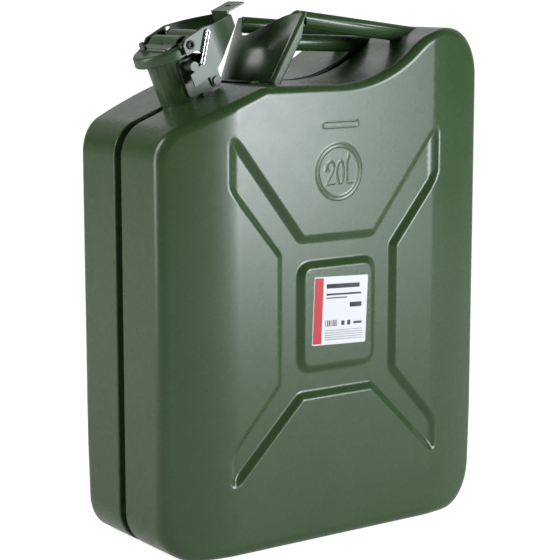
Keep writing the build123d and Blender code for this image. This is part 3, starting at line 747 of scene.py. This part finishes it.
    def skin(self, side: Side) -> bpy.types.Object:
        """Build one half shell's outer skin.

        Args:
            side: which half.

        Returns:
            The piece.
        """
        points, outward = self.outline()
        grid = self.wall_grid(points, outward)
        stations, count = grid.shape[:2]
        around = np.roll(grid, -1, axis=1) - np.roll(grid, 1, axis=1)
        across = np.gradient(grid, axis=0)
        wall_normals = np.cross(across, around)
        wall_normals /= np.maximum(np.linalg.norm(wall_normals, axis=2), 1e-9)[..., None]
        border = grid[-1][:, [0, 2]]
        wall_normals[-1] = self.face_normals(border)
        scattered = self.face_points(border)
        flat = [Vector(p) for p in np.vstack([border, scattered])]
        made, _, triangles, origins, _, _ = delaunay_2d_cdt(flat, [], [list(range(count))], 1, 1e-5)
        face_xz = np.array([tuple(p) for p in made])
        height = self.face_height(face_xz)
        face = np.stack([face_xz[:, 0], height, face_xz[:, 1]], axis=1)
        verts = grid.reshape(-1, 3)
        first = (stations - 1) * count
        index = []
        extra, extra_normals = [], []
        face_normals = self.face_normals(face_xz)
        for k, origin in enumerate(origins):
            on_border = [o for o in origin if o < count]
            if on_border:
                index.append(first + on_border[0])
            else:
                index.append(len(verts) + len(extra))
                extra.append(face[k])
                extra_normals.append(face_normals[k])
        faces = []
        for s in range(stations - 1):
            for k in range(count):
                n = (k + 1) % count
                faces.append((s * count + k, (s + 1) * count + k, (s + 1) * count + n, s * count + n))
        faces += [tuple(index[c] for c in reversed(tri)) for tri in triangles]
        verts = np.vstack([verts, extra])
        normals = np.vstack([wall_normals.reshape(-1, 3), extra_normals])
        if side is Side.NEAR:
            verts, normals = verts * (1, -1, 1), normals * (1, -1, 1)
            faces = [tuple(reversed(f)) for f in faces]
        return new_piece(f"{side.name.lower()}_skin", verts, faces, normals)

    def build(self, finishes: Finishes) -> None:
        """Build and dress both halves.

        Args:
            finishes: the can's finishes.
        """
        for side in Side:
            skin = dress(self.skin(side), finishes.body)
            install(skin, Body.CAN, "body_paint", f"{side.name.lower()}_shell")
        install(dress(self.bead(), finishes.body), Body.CAN, "body_paint", "seam_weld")

    def bead(self) -> bpy.types.Object:
        """Build the rippled weld bead on the groove's floor, open where the neck stands.

        Returns:
            The piece.
        """
        points, outward = self.outline()
        loop, ways = np.vstack([points, points[:1]]), np.vstack([outward, outward[:1]])
        walked = np.concatenate([[0.0], np.cumsum(np.linalg.norm(np.diff(loop, axis=0), axis=1))])
        at = np.arange(0, walked[-1], self.bead_step)
        place = np.stack([np.interp(at, walked, loop[:, k]) for k in (0, 1)], axis=1)
        normal = np.stack([np.interp(at, walked, ways[:, k]) for k in (0, 1)], axis=1)
        normal /= np.linalg.norm(normal, axis=1)[:, None]
        gap = np.linalg.norm(place - np.array(self.neck_at), axis=1) < self.neck_clear
        first = int(np.argmax(gap))
        order = np.roll(np.arange(len(at)), -first)
        order = order[~gap[order]]
        rise = self.bead_rise * (1 + 0.12 * np.sin(at * 2 * math.pi / self.bead_pitch))
        rings = []
        for k in order:
            ring = []
            for a in np.radians(np.linspace(0, 180, 9)):
                base = place[k] - normal[k] * (self.groove_depth - rise[k] * math.sin(a))
                ring.append((base[0], self.bead_half * math.cos(a), base[1]))
            low = place[k] - normal[k] * (self.groove_depth + 0.3)
            ring += [(low[0], -self.bead_half, low[1]), (low[0], self.bead_half, low[1])]
            rings.append(ring)
        return loft("seam_bead", np.array(rings), caps=True)


# ---- small parts --------------------------------------------------------------------------
@dataclass
class Fittings:
    """Small pressed and turned parts: the frame's own solids, with their edges eased."""

    ease: float = 0.28
    flat_angle: float = 2.0
    edge_angle: float = 28.0

    def refine(self, node: str) -> bpy.types.Object:
        """Copy a CAD solid and round its sharp edges.

        Args:
            node: the CAD node.

        Returns:
            The new piece.
        """
        mesh = frame["nodes"][node].data.copy()
        mesh.name = f"{node}_eased"
        shape = bmesh.new()
        shape.from_mesh(mesh)
        bmesh.ops.remove_doubles(shape, verts=shape.verts, dist=1e-6)
        bmesh.ops.dissolve_limit(
            shape, angle_limit=math.radians(self.flat_angle), verts=shape.verts, edges=shape.edges
        )
        shape.to_mesh(mesh)
        shape.free()
        mesh.shade_smooth()
        mesh.set_sharp_from_angle(angle=math.radians(self.edge_angle))
        piece = bpy.data.objects.new(f"{node}_piece", mesh)
        bpy.context.scene.collection.objects.link(piece)
        bevel = piece.modifiers.new("ease", "BEVEL")
        bevel.width = self.ease * MM
        bevel.segments = 2
        bevel.limit_method = "ANGLE"
        bevel.angle_limit = math.radians(self.edge_angle)
        bevel.harden_normals = True
        return piece

    def build(self, finishes: Finishes) -> None:
        """Ease and dress the small parts; the vent tube, cap gasket and gasket plate are only dressed.

        Args:
            finishes: the can's finishes.
        """
        plan = {
            "filler_neck": (Body.CAN, finishes.body, "body_paint"),
            "neck_collar": (Body.CAN, finishes.body, "body_paint"),
            "hinge_bracket": (Body.CAN, finishes.fitting, "fitting_paint"),
            "hinge_pin": (Body.CAN, finishes.fitting, "fitting_paint"),
            "catch_studs": (Body.CAN, finishes.fitting, "fitting_paint"),
            "catch_rollers": (Body.CAN, finishes.fitting, "fitting_paint"),
            "lid_bridge": (Body.LID, finishes.fitting, "fitting_paint"),
            "cap_rivet": (Body.LID, finishes.steel, "bare_steel"),
            "lid_arm_near": (Body.LID, finishes.fitting, "fitting_paint"),
            "lid_arm_far": (Body.LID, finishes.fitting, "fitting_paint"),
            "front_tab": (Body.LID, finishes.fitting, "fitting_paint"),
            "lever": (Body.LEVER, finishes.fitting, "fitting_paint"),
        }
        for node, (body, finish, slot) in plan.items():
            install(dress(self.refine(node), finish), body, slot, node)
        for node, finish in {
            "vent_tube": finishes.steel,
            "cap_gasket": finishes.rubber,
            "gasket_plate": finishes.steel,
        }.items():
            dress(frame["nodes"][node], finish)


@dataclass
class Tilted:
    """The neck's own frame: h rearwards, s along the neck."""

    foot: tuple[float, float] = (-107.5, 389.7)
    tilt: float = 23.0

    def place(self, h: Points, y: Points, s: Points) -> Points:
        """Turn neck coordinates into can coordinates.

        Args:
            h: distances rearwards.
            y: distances across.
            s: distances along the neck.

        Returns:
            Points (x, y, z).
        """
        c, n = math.cos(math.radians(self.tilt)), math.sin(math.radians(self.tilt))
        h, y, s = np.broadcast_arrays(*(np.asarray(v, float) for v in (h, y, s)))
        return np.stack([self.foot[0] + h * c - s * n, y, self.foot[1] + h * n + s * c], axis=-1)


def tube_faces(rings: int, around: int, closed: bool = True) -> list:
    """Quads between successive rings of points.

    Args:
        rings: the number of rings.
        around: points in each ring.
        closed: whether each ring joins up.

    Returns:
        The faces.
    """
    faces = []
    for r in range(rings - 1):
        for k in range(around if closed else around - 1):
            n = (k + 1) % around
            faces.append((r * around + k, r * around + n, (r + 1) * around + n, (r + 1) * around + k))
    return faces


def face_outwards(piece: bpy.types.Object) -> bpy.types.Object:
    """Turn every face of a closed piece outwards.

    Args:
        piece: the piece.

    Returns:
        The same piece.
    """
    shape = bmesh.new()
    shape.from_mesh(piece.data)
    bmesh.ops.recalc_face_normals(shape, faces=shape.faces)
    shape.to_mesh(piece.data)
    shape.free()
    return piece


def loft(name: str, rings: Points, caps: bool = False) -> bpy.types.Object:
    """Skin a stack of closed rings.

    Args:
        name: the piece's name.
        rings: points (ring, point, xyz).
        caps: whether the first and last rings are filled.

    Returns:
        The piece.
    """
    count, around = rings.shape[:2]
    faces = tube_faces(count, around)
    if caps:
        faces.append(tuple(reversed(range(around))))
        faces.append(tuple(range((count - 1) * around, count * around)))
    return face_outwards(new_piece(name, rings.reshape(-1, 3), faces))


def ease(piece: bpy.types.Object, width: float, angle: float = 28.0, segments: int = 2) -> bpy.types.Object:
    """Round a piece's sharp edges.

    Args:
        piece: the piece.
        width: the rounding in millimetres.
        angle: the least angle rounded, in degrees.
        segments: facets across the rounding.

    Returns:
        The piece.
    """
    bevel = piece.modifiers.new("ease", "BEVEL")
    bevel.width = width * MM
    bevel.segments = segments
    bevel.limit_method = "ANGLE"
    bevel.angle_limit = math.radians(angle)
    bevel.harden_normals = True
    return piece


def join(name: str, parts: list) -> bpy.types.Object:
    """Join several pieces into one.

    Args:
        name: the joined piece's name.
        parts: the pieces.

    Returns:
        The joined piece.
    """
    shape = bmesh.new()
    for part in parts:
        shape.from_mesh(part.data)
        bpy.data.objects.remove(part)
    mesh = bpy.data.meshes.new(name)
    shape.to_mesh(mesh)
    shape.free()
    mesh.shade_smooth()
    piece = bpy.data.objects.new(name, mesh)
    bpy.context.scene.collection.objects.link(piece)
    return piece


@dataclass
class Cap:
    """The flanged cap: flat top, turned-down band, rolled lower edge."""

    frame: Tilted = field(default_factory=Tilted)
    radius: float = 28.0
    low: float = 40.0
    top: float = 49.5
    sheet: float = 1.2
    bore: float = 1.8
    spin: int = 96

    def profile(self) -> list:
        """The section (r, s), from the rivet's hole over the outside and back inside."""
        r, t = self.radius, self.sheet
        over = [(self.bore, self.top), (r - 7.5, self.top), (r - 5.2, self.top - 0.15)]
        for k in range(1, 7):
            a = math.radians(15 * k)
            over.append((r - 3.6 + 3.0 * math.sin(a), self.top - 3.0 + 2.9 * math.cos(a)))
        over += [(r - 0.45, self.top - 4.2), (r - 0.3, self.low + 2.2)]
        for k in range(0, 7):
            a = math.radians(30 * k)
            over.append((r - 0.75 + 0.75 * math.cos(a), self.low + 0.75 - 0.75 * math.sin(a)))
        inner = [(r - t - 0.6, self.low + 1.6), (r - t - 0.6, self.top - 3.6)]
        inner += [(r - 4.4, self.top - t - 0.2), (r - 8.0, self.top - t), (self.bore, self.top - t)]
        return over + inner

    def build(self, finishes: Finishes) -> None:
        """Build and dress the cap."""
        section = np.array(self.profile())
        radii, heights = section.T
        rings = []
        for a in np.linspace(0, 2 * math.pi, self.spin, endpoint=False):
            rings.append(self.frame.place(radii * math.cos(a), radii * math.sin(a), heights))
        rings = np.array(rings)
        count = len(section)
        faces = []
        for k in range(self.spin):
            n = (k + 1) % self.spin
            for j in range(count):
                m = (j + 1) % count
                faces.append((k * count + j, k * count + m, n * count + m, n * count + j))
        piece = face_outwards(new_piece("cap_shell", rings.reshape(-1, 3), faces))
        ease(dress(piece, finishes.fitting), 0.2, 40.0)
        install(piece, Body.LID, "fitting_paint", "lid_cap")


@dataclass
class Bracket:
    """The leaning plate in front of the handles: bowed forward, with folded edges and a foot."""

    foot_x: float = -42.5
    top: tuple[float, float] = (-14.5, 463.0)
    base_z: float = 402.5
    foot_half: float = 38.5
    top_half: float = 48.0
    crest: tuple = (
        (-50.0, 464.0), (-46.5, 463.4), (-41.0, 462.4), (-30.0, 459.8), (-16.5, 453.6), (-1.0, 445.6),
        (13.0, 442.2), (24.0, 444.4), (32.0, 450.6), (38.0, 455.0), (44.0, 457.2), (50.0, 456.0),
    )
    flange: float = 9.0
    fold: float = 2.6
    sheet: float = 1.6
    foot_section: tuple = ((1.0, 0.1), (-9.0, 0.1), (-10.2, 0.9), (-9.4, 1.9), (1.0, 2.0))
    foot_share: float = 0.8
    bow_low: float = 13.0
    bow_middle: float = 15.0
    bow_top: float = 6.0
    belly: float = 0.45
    columns: int = 90
    rows: int = 40

    def crown(self, y: float) -> float:
        """The height of the plate's upper edge at y, up the plate as a share of its rise."""
        ys, zs = np.array(self.crest).T
        k = int(np.clip(np.searchsorted(ys, y) - 1, 0, len(ys) - 2))
        slopes = np.gradient(zs, ys)
        run = ys[k + 1] - ys[k]
        t = float(np.clip((y - ys[k]) / run, 0, 1))
        rise = zs[k] * (2 * t**3 - 3 * t**2 + 1) + zs[k + 1] * (3 * t**2 - 2 * t**3)
        rise += run * (slopes[k] * (t**3 - 2 * t**2 + t) + slopes[k + 1] * (t**3 - t**2))
        return (rise - self.base_z) / (self.top[1] - self.base_z)

    def bow(self, share: float) -> float:
        """How far the plate's middle stands forward, by share of its height."""
        if share < self.belly:
            swell = math.sin(share / self.belly * math.pi / 2)
            return self.bow_low + (self.bow_middle - self.bow_low) * swell
        t = min(1.0, (share - self.belly) / 0.5)
        return self.bow_middle + (self.bow_top - self.bow_middle) * t * t * (3 - 2 * t)

    def point(self, across: float, share: float) -> tuple:
        """A point of the plate's front skin.

        Args:
            across: -1 at the near fold to 1 at the far fold.
            share: height up the plate, 0 to 1 of the full rise.

        Returns:
            The point (x, y, z).
        """
        half = self.foot_half + (self.top_half - self.foot_half) * share - self.fold * 0.6
        x = self.foot_x + (self.top[0] - self.foot_x) * share
        z = self.base_z + (self.top[1] - self.base_z) * share
        return (x - self.bow(share) * (1 - across**2) + 0.6, across * half, z)

    def section(self, row: float) -> list:
        """The bowed plate's line at one height, from fold to fold."""
        steps = np.linspace(-1, 1, self.columns)
        return [self.point(across, row * self.crown(across * self.top_half)) for across in steps]

    def build(self, finishes: Finishes) -> None:
        """Build and dress the bracket."""
        lean = Vector((self.top[0] - self.foot_x, 0, self.top[1] - self.base_z)).normalized()
        back = np.array((lean.z, 0.0, -lean.x))
        grid = []
        for row in np.linspace(0, 1, self.rows):
            line = [np.array(p) for p in self.section(row)]
            folded = []
            for end, least in ((0, 0.1), (-1, 0.7)):
                reach = self.flange * min(1.0, max(least, (1.0 - row) / 0.28))
                edge = line[end]
                side = np.array((0.0, -1.0 if end == 0 else 1.0, 0.0))
                arc = []
                for k in range(1, 6):
                    a = math.radians(18 * k)
                    around = side * math.sin(a) + back * (1 - math.cos(a))
                    arc.append(edge + around * self.fold)
                for k in range(1, 5):
                    arc.append(arc[4] + back * max(0.2, reach - self.fold) * k / 4)
                folded.append(arc)
            grid.append(list(reversed(folded[0])) + line + folded[1])
        grid = np.array(grid)
        rows, count = grid.shape[:2]
        plate = new_piece("bracket_plate", grid.reshape(-1, 3), tube_faces(rows, count, closed=False))
        thick = plate.modifiers.new("sheet", "SOLIDIFY")
        thick.thickness = self.sheet * MM
        thick.offset = 0.0
        plate.modifiers.new("round", "SUBSURF").render_levels = 1
        toe = []
        for across in np.linspace(-self.foot_share, self.foot_share, 30):
            x, y, z = self.point(across, 0.0)
            toe.append([(x + out, y, z + up) for out, up in self.foot_section])
        foot = loft("bracket_foot", np.array(toe), caps=True)
        for piece in (plate, foot):
            dress(piece, finishes.body)
        install(plate, Body.CAN, "body_paint", "front_bracket")
        install(foot, Body.CAN, "body_paint")


@dataclass
class Handles:
    """The three carrying tubes, running from the bracket into the hump."""

    setback: tuple = (("near_handle", 3.6), ("middle_handle", 0.0), ("far_handle", 1.6))

    def build(self, finishes: Finishes) -> None:
        """Build and dress the tubes."""
        for name, setback in self.setback:
            mesh = frame["nodes"][name].data.copy()
            piece = bpy.data.objects.new(f"{name}_tube", mesh)
            bpy.context.scene.collection.objects.link(piece)
            mesh.shade_smooth()
            shape = bmesh.new()
            shape.from_mesh(mesh)
            bmesh.ops.remove_doubles(shape, verts=shape.verts, dist=1e-6)
            for vert in shape.verts:
                if vert.co.x < 0:
                    vert.co.x += setback * MM
            shape.to_mesh(mesh)
            shape.free()
            dress(ease(piece, 0.3, 40.0), finishes.body)
            install(piece, Body.CAN, "body_paint", name)


@dataclass
class Hairpin:
    """The bright wire locking pin: two strands joined round the top, cut square at the foot."""

    frame: Tilted = field(default_factory=Tilted)
    hole: tuple[float, float] = (26.5, 49.5)
    head: tuple[float, float] = (26.9, 51.4)
    foot: tuple[float, float] = (10.6, 28.9)
    wire: float = 0.9
    gap: float = 1.35
    y: float = -34.3
    hole_y: float = -30.9

    def strand(self, side: float) -> list:
        """One straight strand's line, from the head to the foot."""
        along = np.array(self.foot) - np.array(self.head)
        along /= np.linalg.norm(along)
        across = np.array((-along[1], along[0])) * self.gap * side
        start, end = np.array(self.head) + across, np.array(self.foot) + across
        return [start + (end - start) * f for f in np.linspace(0, 1, 8)]

    def sweep(self, name: str, line: Points) -> bpy.types.Object:
        """Run a round wire along a line.

        Args:
            name: the piece's name.
            line: points (x, y, z).

        Returns:
            The piece.
        """
        rings = []
        guide = np.array((0.0, 1.0, 0.0))
        for k, here in enumerate(line):
            ahead = line[min(k + 1, len(line) - 1)] - line[max(k - 1, 0)]
            ahead = ahead / np.linalg.norm(ahead)
            u = np.cross(ahead, guide)
            if np.linalg.norm(u) < 0.2:
                u = np.cross(ahead, (0.0, 0.0, 1.0))
            u /= np.linalg.norm(u)
            v = np.cross(ahead, u)
            turn = np.linspace(0, 2 * math.pi, 16, endpoint=False)
            rings.append([here + self.wire * (u * math.cos(a) + v * math.sin(a)) for a in turn])
        return loft(name, np.array(rings), caps=True)

    def build(self, finishes: Finishes) -> None:
        """Build and dress the pin."""
        along = np.array(self.head) - np.array(self.foot)
        along /= np.linalg.norm(along)
        across = np.array((along[1], -along[0]))
        bend = []
        for a in np.radians(np.linspace(0, 180, 13))[1:-1]:
            bend.append(np.array(self.head) + self.gap * (across * math.cos(a) + along * math.sin(a)))
        first, second = self.strand(1.0), self.strand(-1.0)
        if np.linalg.norm(bend[0] - second[0]) > np.linalg.norm(bend[0] - first[0]):
            bend.reverse()
        path = list(reversed(second)) + bend + first
        line = np.array([self.frame.place(p[0], self.y, p[1]) for p in path])
        loop = self.sweep("hairpin", line)
        h, s = self.hole
        stem = [self.frame.place(h, y, s) for y in np.linspace(self.hole_y, self.y + 0.4, 5)]
        peg = self.sweep("hairpin_peg", np.array(stem))
        piece = ease(join("hairpin_wire", [loop, peg]), 0.25, 50.0)
        install(dress(piece, finishes.wire), Body.PIN, "wire_steel", "locking_pin")


@dataclass
class Eyelets:
    """The hollow rivets that the lever turns on, one through each cheek."""

    frame: Tilted = field(default_factory=Tilted)
    pivot: tuple[float, float] = (7.5, 48.0)
    cheek_y: float = 32.8
    profile: tuple = (
        (0.01, -4.4), (2.6, -4.4), (2.6, 0.0), (3.8, 0.0), (3.8, 0.8), (3.4, 1.4), (2.8, 1.6),
        (2.1, 1.45), (1.7, 1.0), (1.6, -0.8), (0.01, -0.8),
    )
    around: int = 40

    def eyelet(self, side: float) -> bpy.types.Object:
        """Turn one rivet about the pivot's axis.

        Args:
            side: -1 for the near cheek, 1 for the far one.

        Returns:
            The piece.
        """
        turn = np.linspace(0, 2 * math.pi, self.around, endpoint=False) * -side
        rings = []
        for radius, out in self.profile:
            h, s = self.pivot[0] + radius * np.cos(turn), self.pivot[1] + radius * np.sin(turn)
            rings.append(self.frame.place(h, np.full(self.around, side * (self.cheek_y + out)), s))
        return loft(f"eyelet_{'near' if side < 0 else 'far'}", np.array(rings), caps=True)

    def build(self, finishes: Finishes) -> None:
        """Build and dress both rivets."""
        pair = join("lever_eyelets", [self.eyelet(-1.0), self.eyelet(1.0)])
        install(dress(ease(pair, 0.12, 50.0), finishes.steel), Body.LID, "bare_steel", "lever_pivots")


@dataclass
class Sticker:
    """A plain paper label on the near pad: white, a red strip, grey lines where text would stand."""

    centre: tuple[float, float] = (1.5, 206.3)
    size: tuple[float, float] = (58.5, 60.0)
    turn: float = -2.6
    y: float = -82.5
    corner: float = 1.4

    def patch(
        self, name: str, box: tuple, lift: float, radius: float, finish: bpy.types.Material
    ) -> bpy.types.Object:
        """A thin printed patch of the label.

        Args:
            name: the patch's name.
            box: left, right, low and high edges from the label's centre.
            lift: distance above the pad.
            radius: the corners' rounding.
            finish: the patch's finish.

        Returns:
            The piece.
        """
        x0, x1, z0, z1 = box
        loop = round_corners([(x0, z0), (x1, z0), (x1, z1), (x0, z1)], radius, 4)
        c, n = math.cos(math.radians(self.turn)), math.sin(math.radians(self.turn))
        x = self.centre[0] + loop[:, 0] * c - loop[:, 1] * n
        z = self.centre[1] + loop[:, 0] * n + loop[:, 1] * c
        rings = [np.stack([x, np.full(len(x), self.y - t), z], axis=1) for t in (lift - 0.05, lift)]
        piece = loft(name, np.array(rings), caps=True)
        piece.data.shade_flat()
        return dress(piece, finish)

    def build(self, finishes: Finishes) -> None:
        """Build the label from its patches."""
        w, h = self.size[0] / 2, self.size[1] / 2
        sheet = self.patch("label_sheet", (-w, w, -h, h), 0.12, self.corner, finishes.paper)
        install(sheet, Body.CAN, "label_paper", "label")
        edges = (-w + 0.6, -w + 10.0, -h + 1.0, h - 1.0)
        strip = self.patch("label_strip", edges, 0.18, 0.8, finishes.red)
        install(strip, Body.CAN, "label_paper")
        left = -w + 13.5
        bars = [
            (left, w - 9.0, h - 10.5, h - 6.6),
            (left, w - 7.0, h - 16.6, h - 15.0),
            (w - 19.0, w - 6.0, 2.2, 6.4),
            (left, w - 22.0, h - 19.4, h - 18.4),
        ]
        for k in range(7):
            bars.append((left + 2.0 * k, left + 2.0 * k + (1.2 if k % 3 else 0.7), -h + 16.0, -h + 21.5))
        bars += [
            (left + 17.5, left + 21.0, -h + 16.5, -h + 20.5),
            (left + 24.0, left + 27.5, -h + 16.5, -h + 20.5),
            (left + 31.0, w - 5.0, -h + 17.2, -h + 19.2),
        ]
        inks = [self.patch(f"ink_{k}", box, 0.17, 0.3, finishes.ink) for k, box in enumerate(bars)]
        lines = [(left, w - 4.0, -h + 4.0 + 2.0 * k, -h + 4.7 + 2.0 * k) for k in range(5)]
        greys = [self.patch(f"grey_{k}", box, 0.17, 0.2, finishes.grey_ink) for k, box in enumerate(lines)]
        install(dress(join("label_ink", inks), finishes.ink), Body.CAN, "label_paper")
        install(dress(join("label_grey", greys), finishes.grey_ink), Body.CAN, "label_paper")


# ---- studio -------------------------------------------------------------------------------
@dataclass
class Studio:
    """Floor, backdrop, lamps and camera."""

    floor_size: float = 9.0
    focus: tuple[float, float, float] = (0.0, 0.0, 0.22)
    eye: tuple[float, float, float] = (-0.9398, -1.3136, 0.4904)
    tilt: float = 80.555
    turn: float = -35.46
    lens: float = 115.94
    seen_glow: float = 0.8
    mirrored_glow: float = 0.3

    def paper(self) -> bpy.types.Material:
        """White paper that reads as pure white and keeps the can's shadow.

        Returns:
            The material.
        """
        made = bpy.data.materials.new("white_paper")
        made.use_nodes = True
        tree = made.node_tree
        tree.nodes.clear()
        out = tree.nodes.new("ShaderNodeOutputMaterial")
        matt = node_of(tree, "ShaderNodeBsdfDiffuse", Color=(0.82, 0.82, 0.82, 1))
        glow = node_of(tree, "ShaderNodeEmission", Color=(1, 1, 1, 1))
        path = tree.nodes.new("ShaderNodeLightPath")
        levels = []
        for ray, level in (("Is Camera Ray", self.seen_glow), ("Is Glossy Ray", self.mirrored_glow)):
            scaled = tree.nodes.new("ShaderNodeMath")
            scaled.operation = "MULTIPLY"
            tree.links.new(path.outputs[ray], scaled.inputs[0])
            scaled.inputs[1].default_value = level
            levels.append(scaled)
        strength = tree.nodes.new("ShaderNodeMath")
        strength.operation = "MAXIMUM"
        tree.links.new(levels[0].outputs[0], strength.inputs[0])
        tree.links.new(levels[1].outputs[0], strength.inputs[1])
        tree.links.new(strength.outputs[0], glow.inputs["Strength"])
        lit = tree.nodes.new("ShaderNodeAddShader")
        tree.links.new(matt.outputs[0], lit.inputs[0])
        tree.links.new(glow.outputs[0], lit.inputs[1])
        tree.links.new(lit.outputs[0], out.inputs["Surface"])
        return made

    def sweep(self) -> bpy.types.Object:
        """Build the floor, curving up behind the can.

        Returns:
            The stage piece.
        """
        ahead = Vector((-self.eye[0], -self.eye[1], 0)).normalized()
        across = Vector((ahead.y, -ahead.x, 0))
        profile = [(-4.5, 0.0), (2.2, 0.0)]
        for a in np.radians(np.arange(10, 91, 10)):
            profile.append((2.2 + 0.8 * math.sin(a), 0.8 * (1 - math.cos(a))))
        profile.append((3.0, 5.0))
        verts, faces = [], []
        for along, up in profile:
            for s in (-1, 1):
                verts.append((ahead * along + across * s * self.floor_size / 2 + Vector((0, 0, up))) / MM)
        for k in range(len(profile) - 1):
            faces.append((2 * k, 2 * k + 1, 2 * k + 3, 2 * k + 2))
        floor = new_piece("sweep", np.array([tuple(v) for v in verts]), faces)
        dress(floor, self.paper())
        return floor

    def lamp(
        self, name: str, toward: tuple, distance: float, size: tuple, power: float, tint: tuple = (1, 1, 1)
    ) -> None:
        """Hang a soft box.

        Args:
            name: the lamp's name.
            toward: direction from the can to the lamp.
            distance: metres from the can.
            size: the box's width and height in metres.
            power: watts.
            tint: the light's colour.
        """
        data = bpy.data.lights.new(name, "AREA")
        data.shape = "RECTANGLE"
        data.size, data.size_y = size
        data.energy = power
        data.color = tint
        lamp = bpy.data.objects.new(name, data)
        bpy.context.scene.collection.objects.link(lamp)
        direction = Vector(toward).normalized()
        lamp.location = Vector(self.focus) + direction * distance
        lamp.rotation_euler = direction.to_track_quat("Z", "Y").to_euler()

    def air(self) -> bpy.types.World:
        """A dim room that the camera sees as white past the paper's edges.

        Returns:
            The world.
        """
        world = bpy.data.worlds.new("studio_air")
        world.use_nodes = True
        tree = world.node_tree
        tree.nodes.clear()
        out = tree.nodes.new("ShaderNodeOutputWorld")
        dim = node_of(tree, "ShaderNodeBackground", Color=(0.012, 0.013, 0.014, 1), Strength=1.0)
        white = node_of(tree, "ShaderNodeBackground", Color=(1, 1, 1, 1), Strength=1.0)
        path = tree.nodes.new("ShaderNodeLightPath")
        pick = tree.nodes.new("ShaderNodeMixShader")
        tree.links.new(path.outputs["Is Camera Ray"], pick.inputs["Fac"])
        tree.links.new(dim.outputs[0], pick.inputs[1])
        tree.links.new(white.outputs[0], pick.inputs[2])
        tree.links.new(pick.outputs[0], out.inputs["Surface"])
        return world

    def build(self) -> None:
        """Set the whole studio."""
        self.sweep()
        self.lamp("right_box", (0.447, -0.883, 0.139), 2.4, (0.66, 1.3), 66.0, (0.88, 0.92, 1.0))
        self.lamp("left_low", (-0.94, 0.342, 0.0), 2.3, (0.9, 1.0), 19.0)
        self.lamp("left_high", (-0.803, 0.324, 0.5), 2.3, (0.9, 1.0), 22.0)
        self.lamp("back_left", (-0.6, 0.8, 0.06), 2.3, (0.6, 0.7), 0.45)
        self.lamp("back_box", (0.3, 0.64, 0.71), 2.6, (1.3, 0.8), 4.0)
        bpy.context.scene.world = self.air()
        data = bpy.data.cameras.new("camera")
        data.lens = self.lens
        data.sensor_width = 36.0
        camera = bpy.data.objects.new("camera", data)
        camera.location = self.eye
        camera.rotation_euler = (math.radians(self.tilt), 0, math.radians(self.turn))
        bpy.context.scene.collection.objects.link(camera)
        bpy.context.scene.camera = camera
        bpy.context.scene.view_settings.view_transform = "Standard"


def main() -> None:
    """Build the canister, piece by piece."""
    logging.basicConfig(level=logging.INFO, format="%(message)s")
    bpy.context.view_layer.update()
    finishes = Finishes.build()
    Studio().build()
    CanBody().build(finishes)
    Fittings().build(finishes)
    for part in (Cap(), Eyelets(), Bracket(), Handles(), Hairpin(), Sticker()):
        part.build(finishes)


if __name__ == "__main__":
    main()
